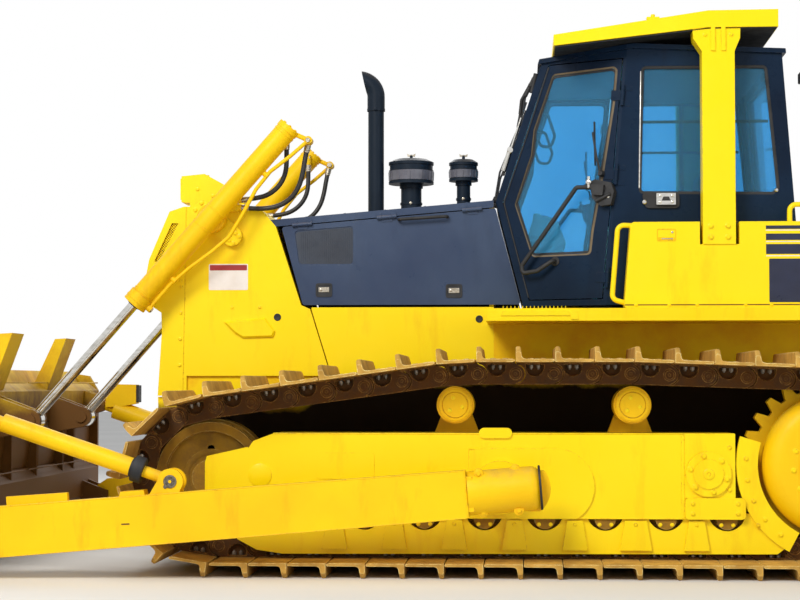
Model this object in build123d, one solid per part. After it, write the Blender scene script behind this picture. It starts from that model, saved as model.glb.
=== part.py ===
from build123d import *
import math
import os

# A crawler dozer on wide low-ground-pressure tracks, with a straight tilt blade.
# Millimetres. +X is forward, +Y is the machine's left, +Z is up, and z = 0 is the
# ground under the grouser tips. Pieces of the left side are mirrored to the right.

# ---------------------------------------------------------------- driving dimensions
# Track chain and shoes
GAUGE = 2050.0              # between the track centre lines
SHOE_WIDTH = 915.0
SHOE_THICK = 15.0
SHOE_GAP = 4.0              # between neighbouring shoes on a straight run
GROUSER_HEIGHT = 65.0
GROUSER_THICK = 22.0
GROUSER_ROOT = 34.0
PITCH = 203.2               # pin to pin
SHOE_COUNT = 45
PIN_TO_RAIL = 58.0
PIN_TO_SEAT = 60.0
STRAND_GAP = 150.0          # clear width between the two rows of links
STRAND_THICK = 45.0
LINK_POCKET = ((-50.0, 50.0), (50.0, 50.0), (28.0, 0.0), (-28.0, 0.0))
LINK_POCKET_DEPTH = 28.0    # bolt pocket in a link's outer face, left out of the split master link

# Undercarriage wheels
SPROCKET_X = -2160.0
SPROCKET_HALF_TEETH = 27    # every second tooth meets a bushing
SPROCKET_THICK = 70.0
TOOTH_RISE = 26.0           # tooth tip beyond the pin circle
TOOTH_ROOT = 34.0           # tooth root inside the pin circle
DOME_R = 375.0              # final drive cover
DOME_FROM_Y = 127.0         # from the track's centre line, beside the links
DOME_TO_Y = 265.0
DOME_EDGE = 100.0
IDLER_PIN_R = 366.0         # pin circle of the chain round the idler
IDLER_FLANGE_RISE = 18.0
IDLER_HUB_R = 92.0
ROLLER_R = 97.0
ROLLER_FLANGE_RISE = 18.0
ROLLER_CAP_R = 55.0
ROLLER_COUNT = 8
ROLLER_FIRST_X = 622.0
ROLLER_LAST_X = -1600.0
CARRIER_R = 100.0
CARRIER_Z = 892.0
CARRIER_XS = (-176.0, -1113.0)
RUN_CLEAR = 0.3             # a wheel's running clearance to what it carries
CHORD_DIP = 7.6             # the links cut the corner over a carrier roller by this

# Track frame
FRAME_HALF_WIDTH = 195.0
FRAME_SIDE = 35.0           # thickness of the side plates
FRAME_TOP_Z = 742.0
ROLLER_HEADROOM = 8.0       # above the roller flanges
FRAME_STEP_Z = 296.0        # where the roller guards begin
FRAME_REAR_X = -1642.0
FRAME_FRONT_X = 788.0
GUARD_BOTTOM_Z = 104.0
GUARD_INSET = 20.0          # roller guard inside the beam's outer face
GUARD_FRONT = ((983.0, 180.0), (880.0, 125.0), (740.0, GUARD_BOTTOM_Z))
GUARD_REAR = ((-1860.0, GUARD_BOTTOM_Z + 10), (-1950.0, 183.0))
CAP_OPENING_R = 98.0        # cut in the guard round a roller's cap
CAP_OPENING_RISE = 36.0     # centre of that cut above the roller's axis
RIB_HALF = (41.0, 67.0)     # half width of a guard rib, top and foot
JOINT_RIB_HALF = (58.0, 84.0)
JOINT_RIB_INDEX = 5         # the rib over the guard's bolted joint
RIB_Z = (131.0, 287.0)
BAND_GAP = 6.0              # between the frame's rear end and the sprocket guard
BAND_INNER_R = 400.0
BAND_ANGLES = (-62.0, 17.0)
PIVOT_SHAFT_X = -1502.0
PIVOT_SHAFT_Z = 533.0
PIVOT_SHAFT_R = 85.0
PIVOT_CAP_R = 118.0

# Blade, push arms, braces
TRUNNION_X = -415.0
TRUNNION_Z = 460.0
TRUNNION_R = 70.0
TRUNNION_PAD = (-711.0, 465.0)      # round rear end of the pad on the frame
TRUNNION_PAD_R = 198.0
TRUNNION_PAD_THICK = 12.0
ARM_INSET = 330.0           # from the blade's end to the arm's outer face
ARM_THICK = 130.0
ARM_HEIGHT = 259.0
ARM_REAR_HEIGHT = 240.0
SOCKET_R = 113.0            # the trunnion socket at the arm's rear end
SOCKET_AHEAD = 164.0
SOCKET_BEHIND = 212.0
SOCKET_EDGE = 50.0
SOCKET_PROUD = 18.0
BLADE_PIN_X = 2318.0
BLADE_PIN_Z = 232.0
ARM_PIN_R = 35.0
BLADE_WIDTH = 3970.0
BLADE_TOP_Z = 1090.0
BLADE_BACK_X = 2430.0
BLADE_EDGE_X = 2742.0
BLADE_EDGE_Z = 12.0
MOLDBOARD_THICK = 28.0
BLADE_RIB_YS = (300.0, 980.0, 1290.0)
BRACE_PIN_X = 1264.0
BRACE_PIN_Z = 506.0
BRACE_R = 48.0
BRACE_STEM_R = 30.0
BRACE_NECK = 211.0          # from an eye's centre to the thick part
BRACE_NUT_R = 56.0
BRACE_NUT = 55.0
BRACE_EYE_R = 46.0
BRACE_EYE_HALF = 32.0
BRACE_EYE_PIN_R = 26.0
TILT_BARREL_R = 64.0
TILT_ROD_SHOWN = 420.0
LUG_THICK = 24.0
LUG_GAP = 3.0               # between an eye and the lugs beside it
BRACE_BLADE_Z = 872.0
BRACE_BLADE_X = 2345.0

# Lift cylinders
LIFT_Y = 645.0
LIFT_PIVOT_X = 1225.0
LIFT_PIVOT_Z = 1942.0
LIFT_EYE_X = 2232.0
LIFT_EYE_Z = 800.0
BARREL_R = 62.0
BARREL_BORE_R = 50.0
BARREL_AHEAD = 650.0        # from the pivot to the gland end
BARREL_BEHIND = 684.0       # from the pivot to the closed end
ROD_R = 29.0
ROD_TAIL = 1336.0           # from the rod eye to the piston end
ROD_SLACK = 0.5
EYE_R = 62.0
EYE_WIDTH = 84.0
LUG_REACH = 8.0             # side play of a lift rod's eye between its lugs
TUBE_R = 11.0               # steel oil tube along the barrel
TUBE_BEND_R = 60.0
TUBE_ROUTE = (              # along the barrel from its pivot, below its axis
    (-695.0, 130.0), (-560.0, 112.0), (-420.0, 84.0), (-290.0, 90.0), (-130.0, 128.0),
    (10.0, 153.0), (140.0, 134.0), (290.0, 100.0), (430.0, 80.0), (612.0, 80.0),
)
HOSE_R = 14.0
HEAD_HOSE = (               # from the port at the barrel's closed end to the guard
    (802.0, 567.0, 2375.0), (800.0, 567.0, 2292.0), (804.0, 563.0, 2208.0), (834.0, 557.0, 2140.0),
    (889.0, 552.0, 2088.0), (959.0, 548.0, 2061.0), (1060.0, 545.0, 2052.0),
)
GLAND_HOSE = (              # from the end of the steel tube to the guard
    (676.0, 600.0, 2353.0), (692.0, 599.0, 2280.0), (704.0, 595.0, 2200.0), (726.0, 586.0, 2122.0),
    (772.0, 570.0, 2056.0), (838.0, 556.0, 2016.0), (915.0, 548.0, 2001.0), (990.0, 545.0, 2001.0),
    (1060.0, 545.0, 2006.0),
)

# Hull, engine bay and radiator guard
HULL_HALF_WIDTH = 480.0
HULL_BELLY_Z = 512.0
HULL_FLOOR_Z = 1050.0       # floor of the engine bay
DECK_Z = 1440.0             # bottom of the hood doors and of the cab
HULL_REAR_X = -2330.0
GUARD_HALF_WIDTH = 500.0
HOOD_REAR_X = -372.0
HOOD_REAR_Z = 2047.0
HOOD_FRONT_X = 852.0
HOOD_FRONT_Z = 1946.0
HOOD_SHEET = 12.0
HOOD_RAIL = 40.0            # fixed edge above the engine doors
DOOR_SHEET = 22.0
SEAM = 6.0                  # gap round a door

# Door hinges
HINGE_R = 12.0
HINGE_PIN_R = 5.0
HINGE_HALF = 28.0           # half the length of the door's knuckle
HINGE_GAP = 1.0
HINGE_LEAF = 5.0
SMALL_LEAF = 26.0
CAB_LEAF = 48.0
ENGINE_HINGE_XS = (-250.0, 236.0, 720.0)
CAB_HINGE_ZS = (1590.0, 2160.0, 2600.0)
CAB_MOUNT_R = 80.0
CAB_MOUNT_XS = (-800.0, -1850.0)
CAB_MOUNT_Y = 330.0

# Fenders, side boxes, tank
FENDER_STEP = 115.0         # walkway outside the side boxes
FENDER_TOP_Z = 1412.0
FENDER_DROP = 68.0
FENDER_FRONT_X = -337.0
BOX_GAP = 8.0               # between the cab and a side box
BOX_DEPTH = 147.0
BOX_FRONT_X = (-1085.0, -1124.0)    # bottom and top of the front face
BOX_TOP_Z = 1885.0
BOX_CORNER = 22.0
BOX_REAR_X = -2075.0
TANK_FRONT_X = -2092.0
TANK_REAR_X = -2560.0
TANK_HALF_WIDTH = 700.0
TANK_TOP_Z = 1905.0
TANK_BOTTOM_Z = 1200.0

# Cab
CAB_HALF_WIDTH = 740.0
CAB_WALL = 45.0
CAB_FLOOR_Z = 1440.0
CAB_SILL_Z = 1478.0
CAB_KNEE = (-385.0, 2040.0)
CAB_FRONT_TOP = (-652.0, 2832.0)
CAB_FRONT_BOTTOM = (-540.0, CAB_FLOOR_Z)
CAB_CROWN = (-1160.0, 2880.0)
CAB_REAR_TOP = (-1966.0, 2842.0)
CAB_REAR_BOTTOM = (-2070.0, CAB_FLOOR_Z)
CAB_KNEE_HALF_WIDTH = 452.0
GUTTER_REACH = 20.0
GUTTER_DEPTH = 18.0
PILLAR_FOOT = (-995.0, CAB_FLOOR_Z)      # rear edge of the doors
PILLAR_HEAD = (-1117.0, 2852.0)
GLASS = 6.0
GLASS_DEPTH = 16.0
GLASS_CLEAR = 0.3

# Rollover frame
ROPS_PROUD = 10.0           # posts outside the side boxes, roof outside the posts
ROPS_POST_X = (-1690.0, -1513.0)
ROPS_POST_DEPTH = 130.0
ROPS_FOOT_Z = 1762.0
ROPS_SLOT = (20.0, 16.0)    # clear slots behind and ahead of a post
ROOF_FRONT_X = -708.0
ROOF_KINK_X = -1548.0
ROOF_REAR_X = -1926.0
ROOF_FRONT_GAP = 21.0       # above the cab's front edge
ROOF_CROWN_GAP = 65.0       # above the cab's crown
ROOF_EDGE = 60.0            # depth of the front fascia
ROOF_EDGE_REAR = 92.0

# Hood furniture
STACK_X = 333.0
STACK_R = 52.0
STACK_SLEEVE_Z = 2640.0
STACK_BEND_Z = 2716.0
STACK_BEND_R = 104.0
STACK_TIP_X = 419.0
RAIL_R = 14.0               # grab rails
RAIL_BEND_R = 36.0

# ---------------------------------------------------------------- derived sizes
TRACK_Y = GAUGE / 2
PIN_Z = GROUSER_HEIGHT + SHOE_THICK + PIN_TO_SEAT
RAIL_Z = PIN_Z + PIN_TO_RAIL
SPROCKET_PIN_R = PITCH / (2 * math.sin(2 * math.pi / SPROCKET_HALF_TEETH))
SPROCKET_Z = PIN_Z + SPROCKET_PIN_R
IDLER_Z = PIN_Z + IDLER_PIN_R
CARRIER_PIN_Z = CARRIER_Z + CARRIER_R + PIN_TO_RAIL + CHORD_DIP
ROLLER_Z = RAIL_Z + ROLLER_R
FRAME_BAY_Z = ROLLER_Z + ROLLER_R + ROLLER_FLANGE_RISE + ROLLER_HEADROOM
STRAND_OUTER = STRAND_GAP / 2 + STRAND_THICK
BAND_OUTER_R = FRAME_REAR_X - BAND_GAP - SPROCKET_X
GUARD_OUT = FRAME_HALF_WIDTH - GUARD_INSET
GUARD_IN = GUARD_OUT - FRAME_SIDE
CAP_END = FRAME_HALF_WIDTH - 11.0
ARM_OUTER_Y = BLADE_WIDTH / 2 - ARM_INSET
ARM_MIDDLE_Y = ARM_OUTER_Y - ARM_THICK / 2
BOX_OUTER_Y = CAB_HALF_WIDTH + BOX_GAP + BOX_DEPTH
FENDER_OUTER_Y = BOX_OUTER_Y + FENDER_STEP
ROPS_OUTER_Y = BOX_OUTER_Y + ROPS_PROUD
ROOF_HALF_WIDTH = ROPS_OUTER_Y + ROPS_PROUD
ROOF_FRONT_Z = CAB_FRONT_TOP[1] + ROOF_FRONT_GAP + ROOF_EDGE
ROOF_KINK_Z = CAB_CROWN[1] + ROOF_CROWN_GAP + ROOF_EDGE_REAR
IDLER_TREAD_R = math.sqrt(IDLER_PIN_R ** 2 - (PITCH / 2) ** 2) - PIN_TO_RAIL - RUN_CLEAR


# ---------------------------------------------------------------- shape helpers
def box(x0, x1, y0, y1, z0, z1):
    """Block between two corners."""
    size = (abs(x1 - x0), abs(y1 - y0), abs(z1 - z0))
    return Pos((x0 + x1) / 2, (y0 + y1) / 2, (z0 + z1) / 2) * Box(*size)


def side_plate(outline, y0, y1):
    """Outline of (x, z) points, extruded across the machine from y0 to y1."""
    face = make_face(Polyline(*[(x, y0, z) for x, z in outline], close=True))
    return extrude(face, amount=y1 - y0, dir=(0, 1, 0))


def plan_plate(outline, z0, z1):
    """Outline of (x, y) points, extruded upwards from z0 to z1."""
    face = make_face(Polyline(*[(x, y, z0) for x, y in outline], close=True))
    return extrude(face, amount=z1 - z0, dir=(0, 0, 1))


def front_plate(outline, x0, x1):
    """Outline of (y, z) points, extruded along the machine from x0 to x1."""
    face = make_face(Polyline(*[(x0, y, z) for y, z in outline], close=True))
    return extrude(face, amount=x1 - x0, dir=(1, 0, 0))


def rod(start, end, radius):
    """Round bar between two points."""
    a, b = Vector(*start), Vector(*end)
    return extrude(Plane(origin=a, z_dir=b - a) * Circle(radius), amount=(b - a).length)


def disc(x, z, radius, y0, y1):
    """Round bar across the machine."""
    return rod((x, y0, z), (x, y1, z), radius)


def round_ended(a, b, radius, y0, y1):
    """Plate with round ends about two (x, z) points."""
    along = Vector(b[0] - a[0], b[1] - a[1]).normalized()
    dx, dz = -along.Y * radius, along.X * radius
    web = side_plate([(a[0] + dx, a[1] + dz), (b[0] + dx, b[1] + dz),
                      (b[0] - dx, b[1] - dz), (a[0] - dx, a[1] - dz)], y0, y1)
    return join([web, disc(*a, radius, y0, y1), disc(*b, radius, y0, y1)])


def tube(points, radius, corner):
    """Round bar along straight runs, each corner on the given radius or radii."""
    path = FilletPolyline(*points, radius=corner)
    return sweep(Plane(origin=path @ 0, z_dir=path % 0) * Circle(radius), path=path)


def turned(x, y, profile):
    """Solid turned about a vertical line from (radius, z) points."""
    outline = [(x, y, profile[0][1])] + [(x + r, y, z) for r, z in profile] + [(x, y, profile[-1][1])]
    face = make_face(Polyline(*outline, close=True))
    return revolve(face, axis=Axis((x, y, 0), (0, 0, 1)))


def right_of(shape):
    """The same piece on the machine's right."""
    return mirror(shape, about=Plane.XZ)


def both_sides(shape):
    return [shape, right_of(shape)]


def join(pieces):
    """One shape from pieces that touch or overlap."""
    first, *rest = pieces
    return first.fuse(*rest) if rest else first


def solids_of(shape):
    return list(shape.solids()) if hasattr(shape, "solids") else [shape]


def save(name, *shapes):
    """Write a node: one solid, or several that do not touch."""
    found = [s for shape in shapes for s in solids_of(shape)]
    node = found[0] if len(found) == 1 else Compound(children=found)
    node.label = name
    export_step(node, f"parts/{name}.step")


# ---------------------------------------------------------------- track chain
def tangent_angle(centre, radius, point, side):
    """Angle on a circle where the tangent towards a point touches it."""
    dx, dz = point[0] - centre[0], point[1] - centre[1]
    reach = math.acos(radius / math.hypot(dx, dz))
    return math.atan2(dz, dx) + side * reach


def on_circle(centre, radius, angle):
    return (centre[0] + radius * math.cos(angle), centre[1] + radius * math.sin(angle))


def chain_path(idler_x):
    """The pin line as a list of straight runs and arcs, forwards along the ground."""
    idler, sprocket = (idler_x, IDLER_Z), (SPROCKET_X, SPROCKET_Z)
    front = (CARRIER_XS[0], CARRIER_PIN_Z)
    rear = (CARRIER_XS[1], CARRIER_PIN_Z)
    leave = tangent_angle(idler, IDLER_PIN_R, front, -1)
    land = tangent_angle(sprocket, SPROCKET_PIN_R, rear, 1)
    return [
        ("run", (SPROCKET_X, PIN_Z), (idler_x, PIN_Z)),
        ("arc", idler, IDLER_PIN_R, -math.pi / 2, leave),
        ("run", on_circle(idler, IDLER_PIN_R, leave), front),
        ("run", front, rear),
        ("run", rear, on_circle(sprocket, SPROCKET_PIN_R, land)),
        ("arc", sprocket, SPROCKET_PIN_R, land, 1.5 * math.pi),
    ]


def length_of(piece):
    if piece[0] == "run":
        return math.dist(piece[1], piece[2])
    return piece[2] * abs(piece[4] - piece[3])


def point_along(path, distance):
    for piece in path:
        step = length_of(piece)
        if distance <= step:
            share = distance / step
            if piece[0] == "run":
                (x0, z0), (x1, z1) = piece[1], piece[2]
                return (x0 + share * (x1 - x0), z0 + share * (z1 - z0))
            return on_circle(piece[1], piece[2], piece[3] + share * (piece[4] - piece[3]))
        distance -= step
    return path[0][1]


def idler_station():
    """Where the idler stands when the chain's pitches just close the loop."""
    low, high = 0.0, 4000.0
    while high - low > 0.001:
        middle = (low + high) / 2
        if sum(length_of(p) for p in chain_path(middle)) < SHOE_COUNT * PITCH:
            low = middle
        else:
            high = middle
    return (low + high) / 2


IDLER_X = idler_station()


def chain_pins():
    path = chain_path(IDLER_X)
    total = sum(length_of(p) for p in path)
    return [point_along(path, i * total / SHOE_COUNT) for i in range(SHOE_COUNT)]


def offset_loop(points, distance):
    """The closed chain line moved outwards, with its corners mitred."""
    moved = []
    for i, (x, z) in enumerate(points):
        back, ahead = points[i - 1], points[(i + 1) % len(points)]
        into = Vector(x - back[0], z - back[1]).normalized()
        away = Vector(ahead[0] - x, ahead[1] - z).normalized()
        normal = Vector(into.Y + away.Y, -into.X - away.X).normalized()
        stretch = distance / (normal.X * into.Y - normal.Y * into.X)
        moved.append((x + normal.X * stretch, z + normal.Y * stretch))
    return moved


def on_link(pin, following, points):
    """Points given along a link and outwards from its pin line, as (x, z) points."""
    along = Vector(following[0] - pin[0], following[1] - pin[1]).normalized()
    out = Vector(along.Y, -along.X)
    middle = ((pin[0] + following[0]) / 2, (pin[1] + following[1]) / 2)
    return [
        (middle[0] + t * along.X + n * out.X, middle[1] + t * along.Y + n * out.Y)
        for t, n in points
    ]


def shoe_outline(pin, following):
    """Shoe plate with its grouser, as (x, z) points round one pitch."""
    half = (PITCH - SHOE_GAP) / 2
    face, tip = PIN_TO_SEAT + SHOE_THICK, PIN_TO_SEAT + SHOE_THICK + GROUSER_HEIGHT
    return on_link(pin, following, [
        (-half, PIN_TO_SEAT),
        (half, PIN_TO_SEAT),
        (half, face),
        (-half + GROUSER_ROOT, face),
        (-half + GROUSER_THICK, tip),
        (-half, tip),
    ])


def track():
    """The left track: two closed rows of links under 45 shoes, as one loop."""
    pins = chain_pins()
    pairs = list(zip(pins, pins[1:] + pins[:1]))
    seat, rail = offset_loop(pins, PIN_TO_SEAT), offset_loop(pins, -PIN_TO_RAIL)
    bands = []
    for y in (TRACK_Y - STRAND_OUTER, TRACK_Y + STRAND_GAP / 2):
        band = side_plate(seat, y, y + STRAND_THICK) - side_plate(rail, y - 1, y + STRAND_THICK + 1)
        bands.append(band)
    floor = TRACK_Y + STRAND_OUTER - LINK_POCKET_DEPTH
    pockets = [side_plate(on_link(*pair, LINK_POCKET), floor, floor + STRAND_THICK) for pair in pairs[1:]]
    bands[1] = bands[1].cut(*pockets)
    shoes = [
        side_plate(shoe_outline(*pair), TRACK_Y - SHOE_WIDTH / 2, TRACK_Y + SHOE_WIDTH / 2)
        for pair in pairs
    ]
    return join(bands + shoes)


# ---------------------------------------------------------------- undercarriage wheels
def stepped_wheel(x, z, steps):
    """Wheel on the left track from (radius, half width) steps about its own centre."""
    return join([disc(x, z, r, TRACK_Y - w, TRACK_Y + w) for r, w in steps])


def idler():
    inner = FRAME_HALF_WIDTH - FRAME_SIDE - RUN_CLEAR
    wheel = stepped_wheel(IDLER_X, IDLER_Z, [
        (IDLER_TREAD_R, STRAND_OUTER - 4),
        (IDLER_TREAD_R + IDLER_FLANGE_RISE, STRAND_GAP / 2 - 6),
        (IDLER_HUB_R, inner),
    ])
    dish = disc(IDLER_X, IDLER_Z, IDLER_TREAD_R - 48, TRACK_Y + 86, TRACK_Y + STRAND_OUTER)
    dish -= disc(IDLER_X, IDLER_Z, IDLER_HUB_R, TRACK_Y + 60, TRACK_Y + STRAND_OUTER + 1)
    wheel -= dish
    wheel -= mirror(dish, about=Plane.XZ.offset(-TRACK_Y))
    return wheel - disc(IDLER_X, IDLER_Z + 150, 20, TRACK_Y, TRACK_Y + STRAND_OUTER)


def sprocket():
    """Toothed ring, its hub and the final drive case behind it."""
    step = 2 * math.pi / SPROCKET_HALF_TEETH
    tip, root = SPROCKET_PIN_R + TOOTH_RISE, SPROCKET_PIN_R - TOOTH_ROOT
    outline = []
    for i in range(SPROCKET_HALF_TEETH):
        middle = (i + 0.5) * step
        for share, radius in ((-0.36, root), (-0.14, tip), (0.14, tip), (0.36, root)):
            outline.append(on_circle((SPROCKET_X, SPROCKET_Z), radius, middle + share * step))
    half = SPROCKET_THICK / 2
    ring = side_plate(outline, TRACK_Y - half, TRACK_Y + half)
    hub = disc(SPROCKET_X, SPROCKET_Z, 300, TRACK_Y + half, TRACK_Y + DOME_FROM_Y)
    dome = disc(SPROCKET_X, SPROCKET_Z, DOME_R, TRACK_Y + DOME_FROM_Y, TRACK_Y + DOME_TO_Y)
    dome = fillet(dome.edges().filter_by(GeomType.CIRCLE).sort_by(Axis.Y)[-1], DOME_EDGE)
    cover = disc(SPROCKET_X, SPROCKET_Z, 190, TRACK_Y + DOME_TO_Y - 5, TRACK_Y + DOME_TO_Y + 30)
    cover = chamfer(cover.edges().filter_by(GeomType.CIRCLE).sort_by(Axis.Y)[-1], 14)
    case = disc(SPROCKET_X, SPROCKET_Z, 290, HULL_HALF_WIDTH + RUN_CLEAR, TRACK_Y - half)
    return join([ring, hub, dome, cover, case])


def roller_stations():
    span = (ROLLER_FIRST_X - ROLLER_LAST_X) / (ROLLER_COUNT - 1)
    return [ROLLER_FIRST_X - i * span for i in range(ROLLER_COUNT)]


def bottom_rollers():
    """Rollers whose end caps sit in pockets of the beam's side plates."""
    return [
        stepped_wheel(x, ROLLER_Z, [
            (ROLLER_R - RUN_CLEAR, STRAND_OUTER + 4),
            (ROLLER_R + ROLLER_FLANGE_RISE, STRAND_GAP / 2 - 5),
            (ROLLER_CAP_R, CAP_END - RUN_CLEAR),
        ])
        for x in roller_stations()
    ]


def carrier_rollers():
    """Top rollers, each on a bracket bolted to the frame's inner edge."""
    wheels = []
    for x in CARRIER_XS:
        wheel = stepped_wheel(x, CARRIER_Z, [(CARRIER_R - RUN_CLEAR, STRAND_OUTER + 4)])
        face = TRACK_Y + STRAND_OUTER
        cap = join([disc(x, CARRIER_Z, 90, face, face + 26), disc(x, CARRIER_Z, 66, face, face + 36)])
        shaft = disc(x, CARRIER_Z, 45, TRACK_Y - 190, TRACK_Y)
        post = side_plate([
            (x - 120, FRAME_TOP_Z), (x + 120, FRAME_TOP_Z), (x + 55, CARRIER_Z + 20),
            (x + 40, CARRIER_Z + 60), (x - 40, CARRIER_Z + 60), (x - 55, CARRIER_Z + 20),
        ], TRACK_Y - 190, TRACK_Y - 135)
        wheels.append(join([wheel, cap, shaft, post]))
    return wheels


# ---------------------------------------------------------------- track frame
def roller_guard():
    """Outer plate under the beam, cut round the roller caps, with its ribs."""
    y0, y1 = TRACK_Y + GUARD_IN, TRACK_Y + GUARD_OUT
    top = FRAME_STEP_Z + 30
    plate = side_plate([*GUARD_FRONT, *GUARD_REAR, (GUARD_REAR[1][0], top), (GUARD_FRONT[0][0], top)], y0, y1)
    stations = roller_stations()
    for x in stations:
        plate -= disc(x, ROLLER_Z + CAP_OPENING_RISE, CAP_OPENING_R, y0 - 1, y1 + 1)
    plate -= disc(SPROCKET_X, SPROCKET_Z, BAND_INNER_R, y0 - 1, y1 + 1)
    ribs = []
    for i, (ahead, behind) in enumerate(zip(stations, stations[1:])):
        x = (ahead + behind) / 2
        head, foot = JOINT_RIB_HALF if i == JOINT_RIB_INDEX else RIB_HALF
        outline = [(x - foot, RIB_Z[0]), (x + foot, RIB_Z[0]), (x + head, RIB_Z[1]), (x - head, RIB_Z[1])]
        ribs.append(side_plate(outline, y1 - 1, y1 + GUARD_INSET))
    return join([plate] + ribs)


def sprocket_guard():
    """Ring sector between the frame's rear end and the sprocket."""
    centre = (SPROCKET_X, SPROCKET_Z)
    y0, y1 = TRACK_Y + GUARD_OUT - 15, TRACK_Y + GUARD_OUT + 15
    ring = disc(*centre, BAND_OUTER_R, y0, y1) - disc(*centre, BAND_INNER_R, y0 - 1, y1 + 1)
    low, high = BAND_ANGLES
    far = [on_circle(centre, 2 * BAND_OUTER_R, math.radians(a)) for a in (low, (low + high) / 2, high)]
    return ring & side_plate([centre] + far, y0 - 1, y1 + 1)


def track_frame():
    """Box beam over the rollers, with roller guards, idler fork, pivot cap and arm trunnion."""
    y0, y1 = TRACK_Y - FRAME_HALF_WIDTH, TRACK_Y + FRAME_HALF_WIDTH
    front = IDLER_X + 16
    side = [  # rear bottom, forwards to the idler fork, back along the top
        (FRAME_REAR_X, FRAME_STEP_Z), (GUARD_FRONT[0][0], FRAME_STEP_Z), (front, IDLER_Z - 86),
        (front, IDLER_Z + 83), (front - 10, IDLER_Z + 115), (929, 669), (922, 664), (897, 701),
        (FRAME_FRONT_X, FRAME_TOP_Z), (FRAME_REAR_X, FRAME_TOP_Z),
    ]
    body = side_plate(side, y0, y1)
    body -= box(-4000, 4000, y0 + FRAME_SIDE, y1 - FRAME_SIDE, 0, FRAME_BAY_Z)
    body -= box(IDLER_X - IDLER_PIN_R, 4000, y0 + FRAME_SIDE, y1 - FRAME_SIDE, 0, 2000)
    guard = roller_guard()
    inner_guard = mirror(guard, about=Plane.XZ.offset(-TRACK_Y))
    inner_guard &= box(FRAME_REAR_X, 4000, y0, TRACK_Y, 0, FRAME_TOP_Z)
    for x in roller_stations():
        body -= disc(x, ROLLER_Z, ROLLER_CAP_R + 4, TRACK_Y - CAP_END, TRACK_Y + CAP_END)
    pad_y = y1 + TRUNNION_PAD_THICK
    pad = round_ended(TRUNNION_PAD, (TRUNNION_X + 100, TRUNNION_PAD[1]), TRUNNION_PAD_R, y1 - 1, pad_y)
    pad &= box(-4000, TRUNNION_X + 164, y1 - 1, pad_y, FRAME_STEP_Z, FRAME_TOP_Z)
    boss = disc(TRUNNION_X, TRUNNION_Z, TRUNNION_R + 70, y1, y1 + 90)
    socket_face = ARM_OUTER_Y - ARM_THICK
    trunnion = disc(TRUNNION_X, TRUNNION_Z, TRUNNION_R, y1, socket_face - 4)
    pin = disc(TRUNNION_X, TRUNNION_Z, TRUNNION_R - 14, socket_face - 4, ARM_OUTER_Y - 30)
    housing = box(FRAME_REAR_X, -1380, y1 - 1, y1 + 8, 408, FRAME_TOP_Z)
    cap = disc(PIVOT_SHAFT_X, PIVOT_SHAFT_Z, PIVOT_CAP_R, y1, y1 + 26)
    cap_face = disc(PIVOT_SHAFT_X, PIVOT_SHAFT_Z, PIVOT_CAP_R - 40, y1, y1 + 34)
    step = outline_prism([(-1380, FRAME_STEP_Z), (-1380, 408), (-1694, 408), (-1694, FRAME_STEP_Z)],
                         y1 - 1, y1 + 18, corner=20)
    lifting_eye = round_ended((-330, FRAME_TOP_Z + 3), (-450, FRAME_TOP_Z + 3), 27, y1 - 60, y1 + 12)
    return join([body, guard, inner_guard, sprocket_guard(), pad, boss, trunnion, pin, housing, cap,
                 cap_face, step, lifting_eye])


# ---------------------------------------------------------------- hull
def main_frame():
    """Hull from the front hook to the drawbar, with the pivot and equaliser shafts."""
    side = [
        (HULL_REAR_X, HULL_BELLY_Z + 40),
        (HULL_REAR_X + 120, HULL_BELLY_Z),
        (1180, HULL_BELLY_Z),
        (1540, HULL_BELLY_Z + 160),
        (1548, 930),
        (1380, 930),
        (1380, HULL_FLOOR_Z),
        (HOOD_REAR_X, HULL_FLOOR_Z),
        (HOOD_REAR_X, DECK_Z - 40),
        (HULL_REAR_X, DECK_Z - 40),
    ]
    hull = side_plate(side, -HULL_HALF_WIDTH, HULL_HALF_WIDTH)
    inner = TRACK_Y - FRAME_HALF_WIDTH - RUN_CLEAR
    shaft = disc(PIVOT_SHAFT_X, PIVOT_SHAFT_Z, PIVOT_SHAFT_R, -inner, inner)
    bar = side_plate([(420, 560), (560, 560), (560, 690), (420, 690)], -inner, inner)
    hook = plan_plate([(1380, -90), (1690, -60), (1690, 60), (1380, 90)], 600, 650)
    hook -= rod((1625, 0, 590), (1625, 0, 660), 32)
    bar_rear = plan_plate([(HULL_REAR_X + 100, -110), (-2745, -80), (-2745, 80), (HULL_REAR_X + 100, 110)],
                          HULL_BELLY_Z + 30, HULL_BELLY_Z + 90)
    bar_rear -= rod((-2675, 0, HULL_BELLY_Z), (-2675, 0, HULL_BELLY_Z + 100), 27)
    under = HOOD_SHEET + RUN_CLEAR
    bulkhead = side_plate([
        (HOOD_REAR_X, HULL_FLOOR_Z), (HOOD_REAR_X, hood_line(HOOD_REAR_X) - under),
        (HOOD_REAR_X + 25, hood_line(HOOD_REAR_X + 25) - under), (HOOD_REAR_X + 25, HULL_FLOOR_Z),
    ], -HULL_HALF_WIDTH + DOOR_SHEET + SEAM, HULL_HALF_WIDTH - DOOR_SHEET - SEAM)
    mounts = [
        rod((x, y, DECK_Z - 41), (x, y, CAB_FLOOR_Z - RUN_CLEAR), CAB_MOUNT_R)
        for x in CAB_MOUNT_XS for y in (-CAB_MOUNT_Y, CAB_MOUNT_Y)
    ]
    return join([hull, shaft, bar, hook, bar_rear, bulkhead] + mounts)


def engine_block():
    crank = box(-250, 640, -230, 230, HULL_FLOOR_Z, HULL_FLOOR_Z + 330)
    head = box(-220, 600, -150, 150, HULL_FLOOR_Z + 330, HULL_FLOOR_Z + 760)
    return join([crank, head])


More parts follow.
